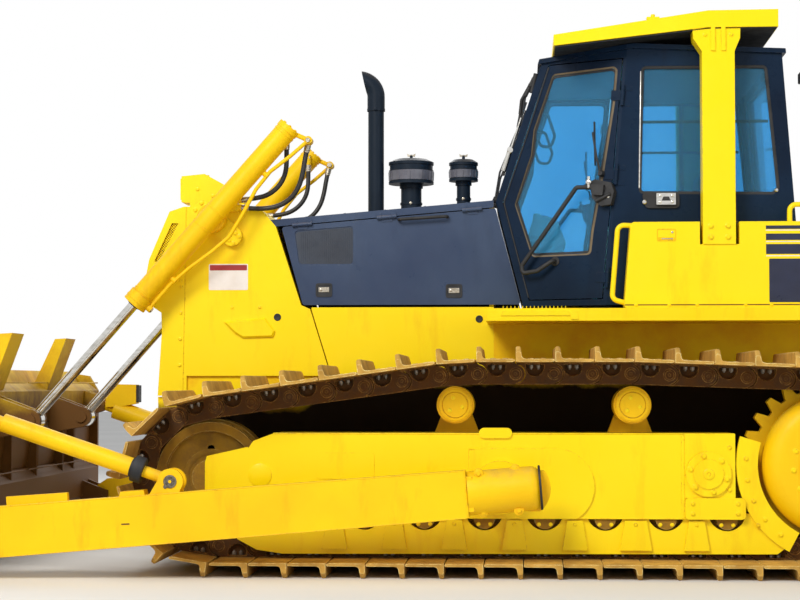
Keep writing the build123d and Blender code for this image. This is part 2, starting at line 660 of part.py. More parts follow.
def guard_outline():
    """Side view of the radiator guard."""
    return [
        (1546, 937), (1524, 1300), (1527, 1411), (1593, 1456), (1621, 1600), (1600, 1715),
        (1483, 1991), (1401, 2019), (1122, 2021), (950, 1997), (HOOD_FRONT_X + 18, 1902),
        (724, 1453), (673, 1430), (555, HULL_FLOOR_Z), (1380, HULL_FLOOR_Z), (1380, 937),
    ]


SCREEN_OUTLINE = [(1472, 1929), (1422, 1929), (1540, 1697), (1577, 1701)]
SCREEN_DEPTH = 20.0
SIDE_PANEL_OUTLINE = [(1165, 1357), (930, 1380), (872, 1305), (884, 1271), (1056, 1266), (1102, 1294)]


def radiator_guard():
    """Guard shell round the radiator, open at the front and into the engine bay."""
    wall = 60
    shell = side_plate(guard_outline(), -GUARD_HALF_WIDTH, GUARD_HALF_WIDTH)
    shell -= box(300, 1330, -GUARD_HALF_WIDTH + wall, GUARD_HALF_WIDTH - wall, HULL_FLOOR_Z - 1, 1880)
    shell -= box(1450, 1800, -360, 360, 1010, 1850)
    outer = GUARD_HALF_WIDTH
    screen = outline_prism(SCREEN_OUTLINE, outer - SCREEN_DEPTH, outer + 1, corner=8)
    seam = side_plate([(1383, 2030), (1387, 2030), (1402, 930), (1398, 930)], outer - 5, outer + 1)
    hole = disc(859, 1382, 18, outer - 30, outer + 1)
    for cut in (screen, seam, hole):
        shell -= cut
        shell -= right_of(cut)
    panel = side_plate(SIDE_PANEL_OUTLINE, outer - 1, outer + 20)
    panel = chamfer(panel.faces().sort_by(Axis.Y)[-1].edges(), 9)
    fixed = [panel] + lift_mounting()
    return join([shell] + fixed + [right_of(piece) for piece in fixed])


def end_fitting(end, before, length, radius):
    """Hose fitting that carries on from a hose's end, in line with its last run."""
    away = (Vector(*end) - Vector(*before)).normalized()
    return rod(end, Vector(*end) + away * length, radius)


def lift_mounting():
    """Left lift cylinder's bearing plate and trunnion, and the block for its hoses."""
    face = LIFT_Y - BARREL_R - 46
    ends = []
    for below in (-77, 142):
        x, _, z = beside_barrel(0, below)
        ends.append((x, z))
    plate = round_ended(*ends, 58, GUARD_HALF_WIDTH - 1, face)
    trunnion = disc(LIFT_PIVOT_X, LIFT_PIVOT_Z, 46, GUARD_HALF_WIDTH - 1, face + 40)
    block_x = HEAD_HOSE[-1][0] + 20
    block = box(block_x, block_x + 60, GUARD_HALF_WIDTH - 1, GUARD_HALF_WIDTH + 66, 1985, 2074)
    ports = [end_fitting(route[-1], route[-2], 24, HOSE_R + 5) for route in (HEAD_HOSE, GLAND_HOSE)]
    return [plate, trunnion, join([block] + ports)]


def front_grille():
    """Frame with slanted bars in the guard's front opening."""
    frame = box(1450.3, 1488, -359.7, 359.7, 1010.3, 1849.7) - box(1400, 1600, -330, 330, 1040, 1820)
    bars = [box(1456, 1484, -331, 331, z, z + 26) for z in range(1080, 1800, 78)]
    return join([frame] + bars)


def hood_line(x):
    """Height of the hood's top at a station."""
    share = (x - HOOD_REAR_X) / (HOOD_FRONT_X - HOOD_REAR_X)
    return HOOD_REAR_Z + share * (HOOD_FRONT_Z - HOOD_REAR_Z)


def engine_hood():
    """Hood top with its turned-down rails over the engine doors."""
    front_x = HOOD_FRONT_X + 60
    outer = [
        (HOOD_REAR_X, HOOD_REAR_Z), (HOOD_REAR_X, HOOD_REAR_Z - HOOD_RAIL),
        (front_x, hood_line(front_x) - HOOD_RAIL), (front_x, hood_line(front_x)),
    ]
    hood = side_plate(outer, -HULL_HALF_WIDTH, HULL_HALF_WIDTH)
    ends = [(x, hood_line(x) - HOOD_SHEET) for x in (HOOD_REAR_X - 60, front_x + 60)]
    trough = HULL_HALF_WIDTH - DOOR_SHEET
    hood -= side_plate(ends + [(ends[1][0], 1700), (ends[0][0], 1700)], -trough, trough)
    stop = make_face(Polyline(*[(x, -600, z) for x, z in guard_outline()], close=True))
    stop = offset(stop, amount=RUN_CLEAR, kind=Kind.INTERSECTION).faces()[0]
    hood -= extrude(stop, amount=1200, dir=(0, 1, 0))
    fixed = [hinge_fixed(origin, line, leaf * -1, reach) for origin, line, leaf, reach in engine_hinges()]
    return join([hood] + fixed + [right_of(h) for h in fixed])


# ---------------------------------------------------------------- door hinges
def hinge_frame(origin, line, leaf):
    """Local frame of a hinge: x along the leaf, z along the hinge line."""
    return Plane(origin=Vector(*origin), x_dir=leaf, z_dir=line)


def hinge_moving(origin, line, leaf, reach):
    """Middle knuckle with its leaf on the door, bored for the pin."""
    frame = hinge_frame(origin, line, leaf)
    outward = 1 if frame.y_dir.Y > 0 else -1
    knuckle = Cylinder(HINGE_R - 1, HINGE_HALF * 2)
    plate = Pos(reach / 2, -outward * (HINGE_R - HINGE_LEAF / 2), 0) * Box(reach, HINGE_LEAF, HINGE_HALF * 2)
    return frame * (join([knuckle, plate]) - Cylinder(HINGE_PIN_R + RUN_CLEAR, HINGE_HALF * 4))


def hinge_fixed(origin, line, leaf, reach):
    """Outer knuckles with their leaves on the body, joined by the pin."""
    frame = hinge_frame(origin, line, leaf)
    outward = 1 if frame.y_dir.Y > 0 else -1
    pieces = [Cylinder(HINGE_PIN_R, HINGE_HALF * 4)]
    middle = HINGE_HALF * 1.5 + HINGE_GAP / 2
    length = HINGE_HALF - HINGE_GAP
    for z in (middle, -middle):
        pieces.append(Pos(0, 0, z) * Cylinder(HINGE_R - 1, length))
        pieces.append(Pos(reach / 2, -outward * (HINGE_R - HINGE_LEAF / 2), z) * Box(reach, HINGE_LEAF, length))
    return frame * join(pieces)


# ---------------------------------------------------------------- engine doors
DOOR_INSET_OUTLINE = [(766, 1878), (738, 1683), (425, 1683), (425, 1905)]


def engine_door():
    """Left engine door, hinged along its top edge."""
    front_x, rear_x = HOOD_FRONT_X - 12, HOOD_REAR_X - 11
    outline = [
        (rear_x, hood_line(rear_x) - HOOD_RAIL - SEAM),
        (front_x, hood_line(front_x) - HOOD_RAIL - SEAM),
        (724 - 8, DECK_Z + 14),
        (-526, DECK_Z + 14),
    ]
    face = HULL_HALF_WIDTH
    skin = outline_prism(outline, face - DOOR_SHEET, face, corner=16)
    skin -= outline_prism(DOOR_INSET_OUTLINE, face - 6, face + 1, corner=20)
    grab = tube([
        (165, face - 8, 1938), (165, face + 38, 1938), (-110, face + 38, 1954), (-110, face - 8, 1954),
    ], 8, 20)
    return join([skin, grab] + [hinge_moving(*place) for place in engine_hinges()])


def engine_hinges():
    """Places (origin, hinge line, leaf direction) of the left engine door's hinges."""
    line = Vector(HOOD_FRONT_X - HOOD_REAR_X, 0, HOOD_FRONT_Z - HOOD_REAR_Z).normalized()
    down = Vector(line.Z, 0, -line.X)
    places = []
    for x in ENGINE_HINGE_XS:
        z = hood_line(x) - HOOD_RAIL - SEAM / 2
        places.append(((x, HULL_HALF_WIDTH + HINGE_R, z), line, down, SMALL_LEAF))
    return places


def lower_side():
    """Fixed side plates between the engine doors and the hull, and the firewall."""
    left = side_plate([
        (550, HULL_FLOOR_Z), (666, DECK_Z - 14), (666, DECK_Z), (HOOD_REAR_X + RUN_CLEAR, DECK_Z),
        (HOOD_REAR_X + RUN_CLEAR, HULL_FLOOR_Z),
    ], HULL_HALF_WIDTH - 20, HULL_HALF_WIDTH)
    return left


# ---------------------------------------------------------------- cab
def cab_side_outline():
    return [CAB_FRONT_BOTTOM, CAB_KNEE, CAB_FRONT_TOP, CAB_CROWN, CAB_REAR_TOP, CAB_REAR_BOTTOM]


def rain_gutter():
    """Lip that runs round the cab's roof edge."""
    line = [CAB_FRONT_TOP, CAB_CROWN, CAB_REAR_TOP]
    (x0, z0), (x1, z1) = line[0], line[-1]
    ends = [(x0 + 60, z0 - 4), *line[1:-1], (x1 - 60, z1)]
    low = [(x, z - GUTTER_DEPTH) for x, z in ends]
    high = [(x, z + 8) for x, z in reversed(ends)]
    zone = side_plate(low + high, -2000, 2000)
    return (cab_block(-GUTTER_REACH) & zone) - cab_block(0)


def door_plane(inset=0.0):
    """Plane of the left door: from the slanted rear pillar to the front knee."""
    foot = Vector(PILLAR_FOOT[0], CAB_HALF_WIDTH, PILLAR_FOOT[1])
    head = Vector(PILLAR_HEAD[0], CAB_HALF_WIDTH, PILLAR_HEAD[1])
    knee = Vector(CAB_KNEE[0], CAB_KNEE_HALF_WIDTH, CAB_KNEE[1])
    normal = (head - foot).cross(knee - foot).normalized()
    if normal.Y < 0:
        normal = normal * -1
    return Plane(origin=foot - normal * inset, z_dir=normal)


def cab_block(inset):
    """Solid of the cab's outside, or of its inside when inset by the wall."""
    face = make_face(Polyline(*[(x, 0, z) for x, z in cab_side_outline()], close=True))
    if inset:
        face = offset(face, amount=-inset).faces()[0]
    half = CAB_HALF_WIDTH - inset
    block = extrude(face, amount=half, dir=(0, 1, 0), both=True)
    block = split(block, bisect_by=door_plane(inset), keep=Keep.BOTTOM)
    plane = door_plane(inset)
    normal = Vector(plane.z_dir.X, -plane.z_dir.Y, plane.z_dir.Z)
    origin = Vector(plane.origin.X, -plane.origin.Y, plane.origin.Z)
    return split(block, bisect_by=Plane(origin=origin, z_dir=normal), keep=Keep.BOTTOM)


DOOR_OUTLINE = [  # rear foot, rear head, front head, knee, front foot
    (PILLAR_FOOT[0] + 22, CAB_SILL_Z), (PILLAR_HEAD[0] + 26, 2806), (-690, 2800),
    (-430, 2035), (-575, CAB_SILL_Z),
]
DOOR_GLASS_OUTLINE = [
    (-1068, 2770), (-1050, 2560), (-985, 2152), (-930, 1850), (-915, 1720), (-590, 1716),
    (-492, 2020), (-585, 2300), (-600, 2440), (-710, 2752),
]
SIDE_WINDOW_OUTLINE = [(-1194, 2764), (-1885, 2763), (-1950, 2075), (-1915, 2045), (-1176, 2053)]


def outline_prism(points, y0, y1, grow=0.0, corner=0.0):
    """Outline of (x, z) points, grown or shrunk, corners rounded, extruded across."""
    face = make_face(Polyline(*[(x, y0, z) for x, z in points], close=True))
    if grow:
        face = offset(face, amount=grow, kind=Kind.INTERSECTION).faces()[0]
    if corner:
        face = fillet(face.vertices(), corner)
    return extrude(face, amount=y1 - y0, dir=(0, 1, 0))


def layer(block, plane_from, plane_to):
    """The part of a block between two parallel planes."""
    kept = split(block, bisect_by=plane_from, keep=Keep.BOTTOM)
    return split(kept, bisect_by=plane_to, keep=Keep.TOP)


def cab_hinges():
    """Origins on the left door's hinge line, with the line and both leaf directions."""
    plane = door_plane(0)
    foot = Vector(PILLAR_FOOT[0], CAB_HALF_WIDTH, PILLAR_FOOT[1])
    head = Vector(PILLAR_HEAD[0], CAB_HALF_WIDTH, PILLAR_HEAD[1])
    line = (head - foot).normalized()
    forward = line.cross(plane.z_dir)
    if forward.X < 0:
        forward = forward * -1
    rearward = line.cross(Vector(0, 1, 0))
    if rearward.X > 0:
        rearward = rearward * -1
    origins = []
    for z in CAB_HINGE_ZS:
        origins.append(foot + line * ((z - foot.Z) / line.Z) + plane.z_dir * HINGE_R)
    return origins, line, forward, rearward


def cab_parts():
    outer, inner = cab_block(0), cab_block(CAB_WALL)
    shell = outer - inner
    wall = CAB_HALF_WIDTH - CAB_WALL - 10
    door_hole = outline_prism(DOOR_OUTLINE, 330, CAB_HALF_WIDTH + 20, grow=SEAM)
    side_hole = outline_prism(SIDE_WINDOW_OUTLINE, wall, CAB_HALF_WIDTH + 20, corner=30)
    side_pane = outline_prism(SIDE_WINDOW_OUTLINE, CAB_HALF_WIDTH - GLASS_DEPTH - GLASS,
                              CAB_HALF_WIDTH - GLASS_DEPTH, grow=-GLASS_CLEAR, corner=30 - GLASS_CLEAR)
    ring = layer(outer, door_plane(0), door_plane(CAB_WALL))
    door_prism = outline_prism(DOOR_OUTLINE, 330, CAB_HALF_WIDTH + 20)
    door = ring & door_prism
    glass_hole = outline_prism(DOOR_GLASS_OUTLINE, 330, CAB_HALF_WIDTH + 20, corner=28)
    door = door - glass_hole
    pane_block = outline_prism(DOOR_GLASS_OUTLINE, 330, CAB_HALF_WIDTH + 20,
                               grow=-GLASS_CLEAR, corner=28 - GLASS_CLEAR)
    pane = layer(pane_block, door_plane(GLASS_DEPTH), door_plane(GLASS_DEPTH + GLASS))
    shell = shell - door_hole - right_of(door_hole) - side_hole - right_of(side_hole)
    origins, line, forward, rearward = cab_hinges()
    door = join([door, door_rail()] + [hinge_moving(o, line, forward, CAB_LEAF + 22) for o in origins])
    fixed = [hinge_fixed(o, line, rearward, CAB_LEAF) for o in origins]
    shell = join([shell, rain_gutter()] + fixed + [right_of(h) for h in fixed])

    # windscreen in the upper front face, rear window in the rear face
    screen = cab_window(CAB_KNEE, CAB_FRONT_TOP, 80, 70, CAB_KNEE_HALF_WIDTH - 75, 455)
    back = cab_window(CAB_REAR_BOTTOM, CAB_REAR_TOP, 640, 90, 590, 590)
    shell = shell - screen[0] - back[0]
    panes = [side_pane, right_of(side_pane), screen[1], back[1]]
    return shell, panes, door, pane


def door_rail():
    """Bent grab rail on the left door, from its rear edge down to the sill."""
    plane = door_plane(0)

    def over_door(x, z, height):
        level = plane.z_dir.dot(Vector(x, 0, z) - plane.origin) / plane.z_dir.Y
        return Vector(x, -level, z) + plane.z_dir * height

    route = [(-998, 2088, -20), (-998, 2088, 44), (-860, 2092, 62), (-556, 1665, 62),
             (-560, 1622, 62), (-640, 1632, 62), (-718, 1690, 40), (-718, 1690, -20)]
    radii = [12, 24, 24, 18, 30, 18]
    return tube([over_door(*place) for place in route], 11, radii)


def cab_window(low, high, low_inset, high_inset, low_half, high_half):
    """Hole and pane of a window in a slanted face between two (x, z) corners."""
    a, b = Vector(low[0], 0, low[1]), Vector(high[0], 0, high[1])
    up = (b - a).normalized()
    across = Vector(0, 1, 0)
    outward = across.cross(up)
    if (outward.X > 0) != (low[0] > -1200):
        outward = outward * -1
    length = (b - a).length

    def trapezium(shrink):
        corners = []
        for along, half in ((low_inset + shrink, low_half - shrink), (length - high_inset - shrink, high_half - shrink)):
            base = a + up * along
            corners.append((base + across * half, base - across * half))
        (p0, p1), (p2, p3) = corners
        return [p0, p1, p3, p2]

    hole_face = make_face(Polyline(*[p + outward * 20 for p in trapezium(0)], close=True))
    hole = extrude(hole_face, amount=CAB_WALL + 40, dir=outward * -1)
    pane_face = make_face(Polyline(*[p - outward * GLASS_DEPTH for p in trapezium(GLASS_CLEAR)], close=True))
    pane = extrude(pane_face, amount=GLASS, dir=outward * -1)
    return hole, pane


def operator_seat():
    base = box(-1500, -1180, -180, 180, CAB_FLOOR_Z + CAB_WALL, 1700)
    cushion = box(-1560, -1080, -260, 260, 1700, 1830)
    back = side_plate([(-1600, 1760), (-1470, 1760), (-1560, 2420), (-1680, 2420)], -240, 240)
    return join([base, cushion, back])


def console():
    dash = side_plate([(-720, 1485), (-600, 1485), (-560, 1850), (-600, 1990), (-740, 1960), (-790, 1820)], -330, 330)
    left = box(-1450, -950, 320, 470, 1485, 1900)
    right = box(-1450, -950, -470, -320, 1485, 1900)
    return [dash, left, right]


# ---------------------------------------------------------------- rollover frame
def rops_frame():
    """Two posts with flared heads under a shallow-pitched roof."""
    top = [
        (ROOF_FRONT_X, ROOF_FRONT_Z), (ROOF_KINK_X, ROOF_KINK_Z), (ROOF_REAR_X, ROOF_KINK_Z + 3),
        (ROOF_REAR_X, ROOF_KINK_Z - ROOF_EDGE_REAR), (ROOF_KINK_X, ROOF_KINK_Z - ROOF_EDGE_REAR),
        (ROOF_FRONT_X, ROOF_FRONT_Z - ROOF_EDGE),
    ]
    roof = side_plate(top, -ROOF_HALF_WIDTH, ROOF_HALF_WIDTH)
    x0, x1 = ROPS_POST_X
    under = ROOF_KINK_Z - ROOF_EDGE_REAR
    post = box(x0, x1, ROPS_OUTER_Y - ROPS_POST_DEPTH, ROPS_OUTER_Y, ROPS_FOOT_Z, under - 40)
    head = side_plate([
        (x0 - 32, under), (x1 + 50, under - 6), (x1 + 46, under - 60), (x1, under - 130),
        (x0, under - 130), (x0 - 30, under - 60),
    ], ROPS_OUTER_Y - ROPS_POST_DEPTH, ROPS_OUTER_Y)
    middle = (x0 + x1) / 2
    ribs = [
        box(middle + shift - 12, middle + shift + 12, ROPS_OUTER_Y - 1, ROPS_OUTER_Y + ROPS_PROUD, under - 128, under)
        for shift in (-28, 28)
    ]
    left = join([post, head] + ribs)
    return join([roof, left, right_of(left)])


# ---------------------------------------------------------------- fenders and boxes
def fender():
    top = box(HULL_REAR_X, FENDER_FRONT_X, HULL_HALF_WIDTH + RUN_CLEAR, FENDER_OUTER_Y,
              FENDER_TOP_Z - FENDER_DROP, FENDER_TOP_Z)
    return top


def side_box():
    """Left side box with its grab rail in front and the handrail behind."""
    outline = [
        (BOX_FRONT_X[0], FENDER_TOP_Z + RUN_CLEAR), (BOX_FRONT_X[1], BOX_TOP_Z), (BOX_REAR_X, BOX_TOP_Z),
        (BOX_REAR_X, FENDER_TOP_Z + RUN_CLEAR),
    ]
    inner = CAB_HALF_WIDTH + BOX_GAP
    body = outline_prism(outline, inner, BOX_OUTER_Y, corner=BOX_CORNER)
    behind, ahead = ROPS_SLOT
    x0, x1 = ROPS_POST_X
    body -= box(x0 - behind, x1 + ahead, inner - 10, BOX_OUTER_Y + 20, ROPS_FOOT_Z, 3000)
    y = BOX_OUTER_Y - 35
    grab = tube([(BOX_FRONT_X[1] - 30, y, 1866), (-1056, y, 1872), (-1022, y, 1465), (BOX_FRONT_X[0] - 30, y, 1440)],
                RAIL_R, RAIL_BEND_R)
    floor = FENDER_TOP_Z + RUN_CLEAR
    rail = tube([(-1985, y, BOX_TOP_Z - 10), (-1985, y, 1979), (-2290, y, 1979), (-2290, y, floor)],
                RAIL_R, RAIL_BEND_R)
    return join([body, grab, rail])


def fuel_tank():
    outline = [
        (TANK_FRONT_X, FENDER_TOP_Z + RUN_CLEAR), (TANK_FRONT_X, TANK_TOP_Z), (TANK_REAR_X + 60, TANK_TOP_Z),
        (TANK_REAR_X, TANK_TOP_Z - 60), (TANK_REAR_X, TANK_BOTTOM_Z + 50), (HULL_REAR_X - RUN_CLEAR, TANK_BOTTOM_Z),
        (HULL_REAR_X - RUN_CLEAR, FENDER_TOP_Z + RUN_CLEAR),
    ]
    return side_plate(outline, -TANK_HALF_WIDTH, TANK_HALF_WIDTH)


# ---------------------------------------------------------------- things on the hood
def under_hood():
    """Everything below the hood's sloping top, for cutting what stands on it."""
    ends = [(x, hood_line(x) + RUN_CLEAR) for x in (HOOD_REAR_X - 100, HOOD_FRONT_X + 100)]
    return side_plate(ends + [(ends[1][0], 1000), (ends[0][0], 1000)], -600, 600)


def exhaust_stack():
    """Stack with a sleeve bent forwards and cut off steeply to a point."""
    pipe = rod((STACK_X, 0, hood_line(STACK_X) - STACK_R), (STACK_X, 0, STACK_SLEEVE_Z), STACK_R - 5)
    foot, bend = (STACK_X, 0, STACK_SLEEVE_Z - 12), (STACK_X, 0, STACK_BEND_Z + STACK_BEND_R)
    route = [foot, bend, (STACK_X + STACK_BEND_R + 20, 0, bend[2])]
    sleeve = tube(route, STACK_R, STACK_BEND_R)
    mouth = side_plate([
        (STACK_X + STACK_R, STACK_BEND_Z), (STACK_TIP_X, 2871), (STACK_TIP_X, 3000), (900, 3000),
        (900, STACK_BEND_Z),
    ], -200, 200)
    bore = tube(route, STACK_R - 6, STACK_BEND_R) & box(0, 900, -200, 200, STACK_BEND_Z - 40, 3000)
    return join([pipe, sleeve]) - mouth - bore - under_hood()


def precleaners():
    """Air precleaners as turned solids: neck, base plate, bowl, lid and wing nut."""
    found = []
    for x, neck, bowl, base_z, lid_z in ((123, 61, 128, 2190, 2304), (-188, 40, 80, 2205, 2300)):
        rim = bowl + 6
        profile = [
            (neck, hood_line(x) - neck), (neck, base_z - 24), (neck + 8, base_z - 24), (neck + 8, base_z),
            (rim, base_z), (rim, base_z + 16), (bowl, base_z + 16), (bowl, lid_z), (rim, lid_z),
            (rim, lid_z + 16), (bowl * 0.75, lid_z + 34), (9, lid_z + 38), (9, lid_z + 58),
        ]
        found.append(turned(x, 0, profile) - under_hood())
    return found


def head_lamps():
    """Lamp housings on the guard, hollowed behind their lenses."""
    found = []
    for y in (280, -280):
        body = side_plate([
            (1172, 2021.3), (1384, 2019.6), (1384, 2052), (1434, 2056), (1434, 2206), (1300, 2219),
            (1189, 2158), (1150, 2119), (1150, 2040),
        ], y - 110, y + 110)
        found.append(body - box(1412, 1440, y - 88, y + 88, 2076, 2188))
    return found


# ---------------------------------------------------------------- blade and arms
def arm_direction():
    return Vector(BLADE_PIN_X - TRUNNION_X, 0, BLADE_PIN_Z - TRUNNION_Z).normalized()


def along_arm(distance, above):
    """Point (x, z) on the arm's side, measured from the trunnion along its centre line."""
    along = arm_direction()
    return (TRUNNION_X + distance * along.X - above * along.Z, TRUNNION_Z + distance * along.Z + above * along.X)


def push_arm():
    """Left push arm: box beam from the trunnion socket to the blade's foot pin."""
    length = math.dist((TRUNNION_X, TRUNNION_Z), (BLADE_PIN_X, BLADE_PIN_Z))
    y0, y1 = ARM_OUTER_Y - ARM_THICK, ARM_OUTER_Y
    beam = side_plate([along_arm(*place) for place in (
        (SOCKET_AHEAD, -ARM_REAR_HEIGHT / 2), (length - 60, -ARM_HEIGHT / 2), (length + 50, -70),
        (length + 50, 70), (length - 60, ARM_HEIGHT / 2), (SOCKET_AHEAD, ARM_REAR_HEIGHT / 2),
    )], y0, y1)
    tongue = side_plate([along_arm(*place) for place in (
        (SOCKET_AHEAD - 30, -90), (SOCKET_AHEAD + 30, -90), (SOCKET_AHEAD + 30, 90), (SOCKET_AHEAD - 30, 90),
    )], y0 + 6, y1 - 6)
    rail = side_plate([along_arm(*place) for place in (
        (2220, ARM_HEIGHT / 2 - 20), (2540, ARM_HEIGHT / 2 - 20), (2540, ARM_HEIGHT / 2 + 44),
        (2220, ARM_HEIGHT / 2 + 40),
    )], y0 + 15, y0 + 55)
    pedestal = side_plate([along_arm(*place) for place in (
        (1800, ARM_REAR_HEIGHT / 2 - 20), (1950, ARM_REAR_HEIGHT / 2 - 20), (1930, ARM_HEIGHT / 2 + 24),
        (1810, ARM_HEIGHT / 2 + 24),
    )], y0 + 20, y1 - 10)
    arm = join([beam, tongue, arm_socket(), rail, pedestal])
    arm -= disc(TRUNNION_X, TRUNNION_Z, TRUNNION_R - 13, y0 - 50, y1 - 25)
    arm -= disc(BLADE_PIN_X, BLADE_PIN_Z, ARM_PIN_R + RUN_CLEAR, y0 - 5, y1 + 5)
    lug = join([
        side_plate([
            (BRACE_PIN_X - 50, 430), (BRACE_PIN_X + 118, 420), (BRACE_PIN_X + 36, BRACE_PIN_Z + 56),
            (BRACE_PIN_X - 50, BRACE_PIN_Z + 40),
        ], 0, LUG_THICK),
        disc(BRACE_PIN_X, BRACE_PIN_Z, 66, 0, LUG_THICK),
    ])
    reach = BRACE_EYE_HALF + LUG_GAP
    lugs = [Pos(0, y, 0) * lug for y in (ARM_MIDDLE_Y + reach, ARM_MIDDLE_Y - reach - LUG_THICK)]
    return join([arm] + lugs + brace_pins(ARM_MIDDLE_Y)[:1])


def arm_socket():
    """Round-backed socket over the trunnion, with a flange behind its inner edge."""
    y0 = ARM_OUTER_Y - ARM_THICK
    centre_y = ARM_OUTER_Y + SOCKET_PROUD - SOCKET_R
    (x0, z0), (x1, z1) = along_arm(-SOCKET_BEHIND, 0), along_arm(SOCKET_AHEAD - 3, 0)
    block = rod((x0, centre_y, z0), (x1, centre_y, z1), SOCKET_R)
    block = fillet(block.edges().filter_by(GeomType.CIRCLE).sort_by(Axis.X)[0], SOCKET_EDGE)
    flange = disc(*along_arm(-SOCKET_BEHIND + 98, 0), 146, y0, y0 + 36)
    flange &= box(-2000, TRUNNION_X - 140, y0, y0 + 36, TRUNNION_Z - 104, TRUNNION_Z + 104)
    return join([block & box(-2000, 4000, y0, ARM_OUTER_Y + 100, 0, 2000), flange])


def moldboard_arc(back=0.0):
    """Front curve of the moldboard, or the same curve moved back by the plate's thickness."""
    points = ((BLADE_EDGE_X - 60, 200), (BLADE_BACK_X + 85, 640), (BLADE_EDGE_X - 110, BLADE_TOP_Z))
    return ThreePointArc(*[(x - back, 0, z) for x, z in points])


def across_blade(edges, half):
    return extrude(make_face(edges), amount=half, dir=(0, 1, 0), both=True)


def blade():
    """Curved moldboard on two box beams and ribs, with end plates, lugs and rod guards."""
    half = BLADE_WIDTH / 2
    front, back = moldboard_arc(), moldboard_arc(MOLDBOARD_THICK)
    plate = across_blade([front, Line(front @ 1, back @ 1), back, Line(back @ 0, front @ 0)], half - 20)
    ahead = across_blade([front, Polyline(front @ 1, (3200, 0, BLADE_TOP_Z), (3200, 0, 200), front @ 0)], half)
    x = BLADE_BACK_X
    beams = [
        side_plate([(x, 960), (x, 780), (x + 120, 700), (x + 250, 700), (x + 250, 1012), (x + 60, 1012)],
                   -half + 20, half - 20),
        side_plate([(x, 250), (x, 430), (x + 60, 490), (x + 300, 490), (x + 300, 200), (x + 40, 200)],
                   -half + 20, half - 20),
    ]
    ribs = [
        side_plate([(x + 12, 400), (x + 12, 800), (x + 250, 800), (x + 250, 400)], y - 12, y + 12)
        for station in BLADE_RIB_YS for y in (station, -station)
    ]
    body = join(beams + ribs) - ahead
    pieces = [plate, body]
    for side in (1, -1):
        pieces.append(side_plate([(x, 200), (BLADE_EDGE_X - 10, 200), (BLADE_EDGE_X - 60, BLADE_TOP_Z),
                                  (x + 60, BLADE_TOP_Z - 30), (x, 960)], side * (half - 40), side * half))
        pieces.append(side_plate([(x + 10, 960), (x + 90, 1005), (2389, 1286), (2318, 1290)],
                                 side * LIFT_Y - 130, side * LIFT_Y + 130))
        arm_y = side * ARM_MIDDLE_Y
        foot = ((190, BLADE_PIN_Z - 55), (360, BLADE_PIN_Z + 55))
        pieces += blade_lugs(arm_y, ARM_THICK / 2 + 8, 30, BLADE_PIN_X - 60, *foot)
        pieces.append(disc(BLADE_PIN_X, BLADE_PIN_Z, ARM_PIN_R, arm_y - ARM_THICK / 2 - 44, arm_y + ARM_THICK / 2 + 44))
        shoulder = ((BRACE_BLADE_Z - 90, BRACE_BLADE_Z - 45), (BRACE_BLADE_Z + 90, BRACE_BLADE_Z + 45))
        pieces += blade_lugs(arm_y, BRACE_EYE_HALF + LUG_GAP, LUG_THICK, BRACE_BLADE_X - 50, *shoulder)
        pieces.append(brace_pins(arm_y)[1])
        pieces += lift_lugs(side)
    return join(pieces)


def blade_lugs(y, reach, thick, tip_x, low, high):
    """Pair of lugs either side of y: heights at the blade and at the tip, below and above."""
    outline = [(BLADE_BACK_X + 10, low[0]), (tip_x, low[1]), (tip_x, high[1]), (BLADE_BACK_X + 10, high[0])]
    inner = side_plate(outline, y - reach - thick, y - reach)
    outer = side_plate(outline, y + reach, y + reach + thick)
    return [inner, outer]


def lift_lugs(side):
    """Lugs beside a lift rod's eye, with the pin's heads on their outer faces."""
    web = side_plate([
        (BLADE_BACK_X + 10, 700), (LIFT_EYE_X - 20, LIFT_EYE_Z - 62), (LIFT_EYE_X, LIFT_EYE_Z + 62),
        (BLADE_BACK_X + 10, 940),
    ], 0, 30)
    boss = disc(LIFT_EYE_X, LIFT_EYE_Z, EYE_R, 0, 30)
    head = disc(LIFT_EYE_X, LIFT_EYE_Z, 36, 28, 44)
    lug = join([web, boss, head])
    reach = EYE_WIDTH / 2 + LUG_REACH
    return [Pos(0, side * LIFT_Y + reach, 0) * lug, Pos(0, side * LIFT_Y - reach, 0) * right_of(lug)]


def cutting_edges():
    edge = side_plate([(BLADE_EDGE_X, BLADE_EDGE_Z), (BLADE_EDGE_X - 22, BLADE_EDGE_Z), (BLADE_EDGE_X - 92, 199.7),
                       (BLADE_EDGE_X - 60, 199.7)], -BLADE_WIDTH / 2, BLADE_WIDTH / 2)
    return edge


def brace_line():
    return (BRACE_PIN_X, BRACE_PIN_Z), (BRACE_BLADE_X, BRACE_BLADE_Z)


def brace_eyes(y):
    """Eyes at both ends of the brace or of the tilt cylinder, bored for their pins."""
    return [
        disc(x, z, BRACE_EYE_R, y - BRACE_EYE_HALF, y + BRACE_EYE_HALF) for x, z in brace_line()
    ]


def brace_pins(y, clearance=0.0):
    """Pin at the arm and pin at the blade, or their bores when given a clearance."""
    half = BRACE_EYE_HALF + LUG_GAP + LUG_THICK + 8
    return [disc(x, z, BRACE_EYE_PIN_R + clearance, y - half, y + half) for x, z in brace_line()]


def blade_brace():
    y = ARM_MIDDLE_Y
    (x0, z0), (x1, z1) = brace_line()
    d = Vector(x1 - x0, 0, z1 - z0).normalized()
    start = Vector(x0, y, z0)
    tube_body = rod(start + d * BRACE_NECK, Vector(x1, y, z1) - d * BRACE_NECK, BRACE_R)
    nut = extrude(Plane(origin=start + d * (BRACE_NECK - BRACE_NUT), z_dir=d) * RegularPolygon(BRACE_NUT_R, 6),
                  amount=BRACE_NUT + 1)
    core = rod((x0, y, z0), (x1, y, z1), BRACE_STEM_R)
    body = join([core, tube_body, nut] + brace_eyes(y))
    for bore in brace_pins(y, RUN_CLEAR):
        body -= bore
    return body


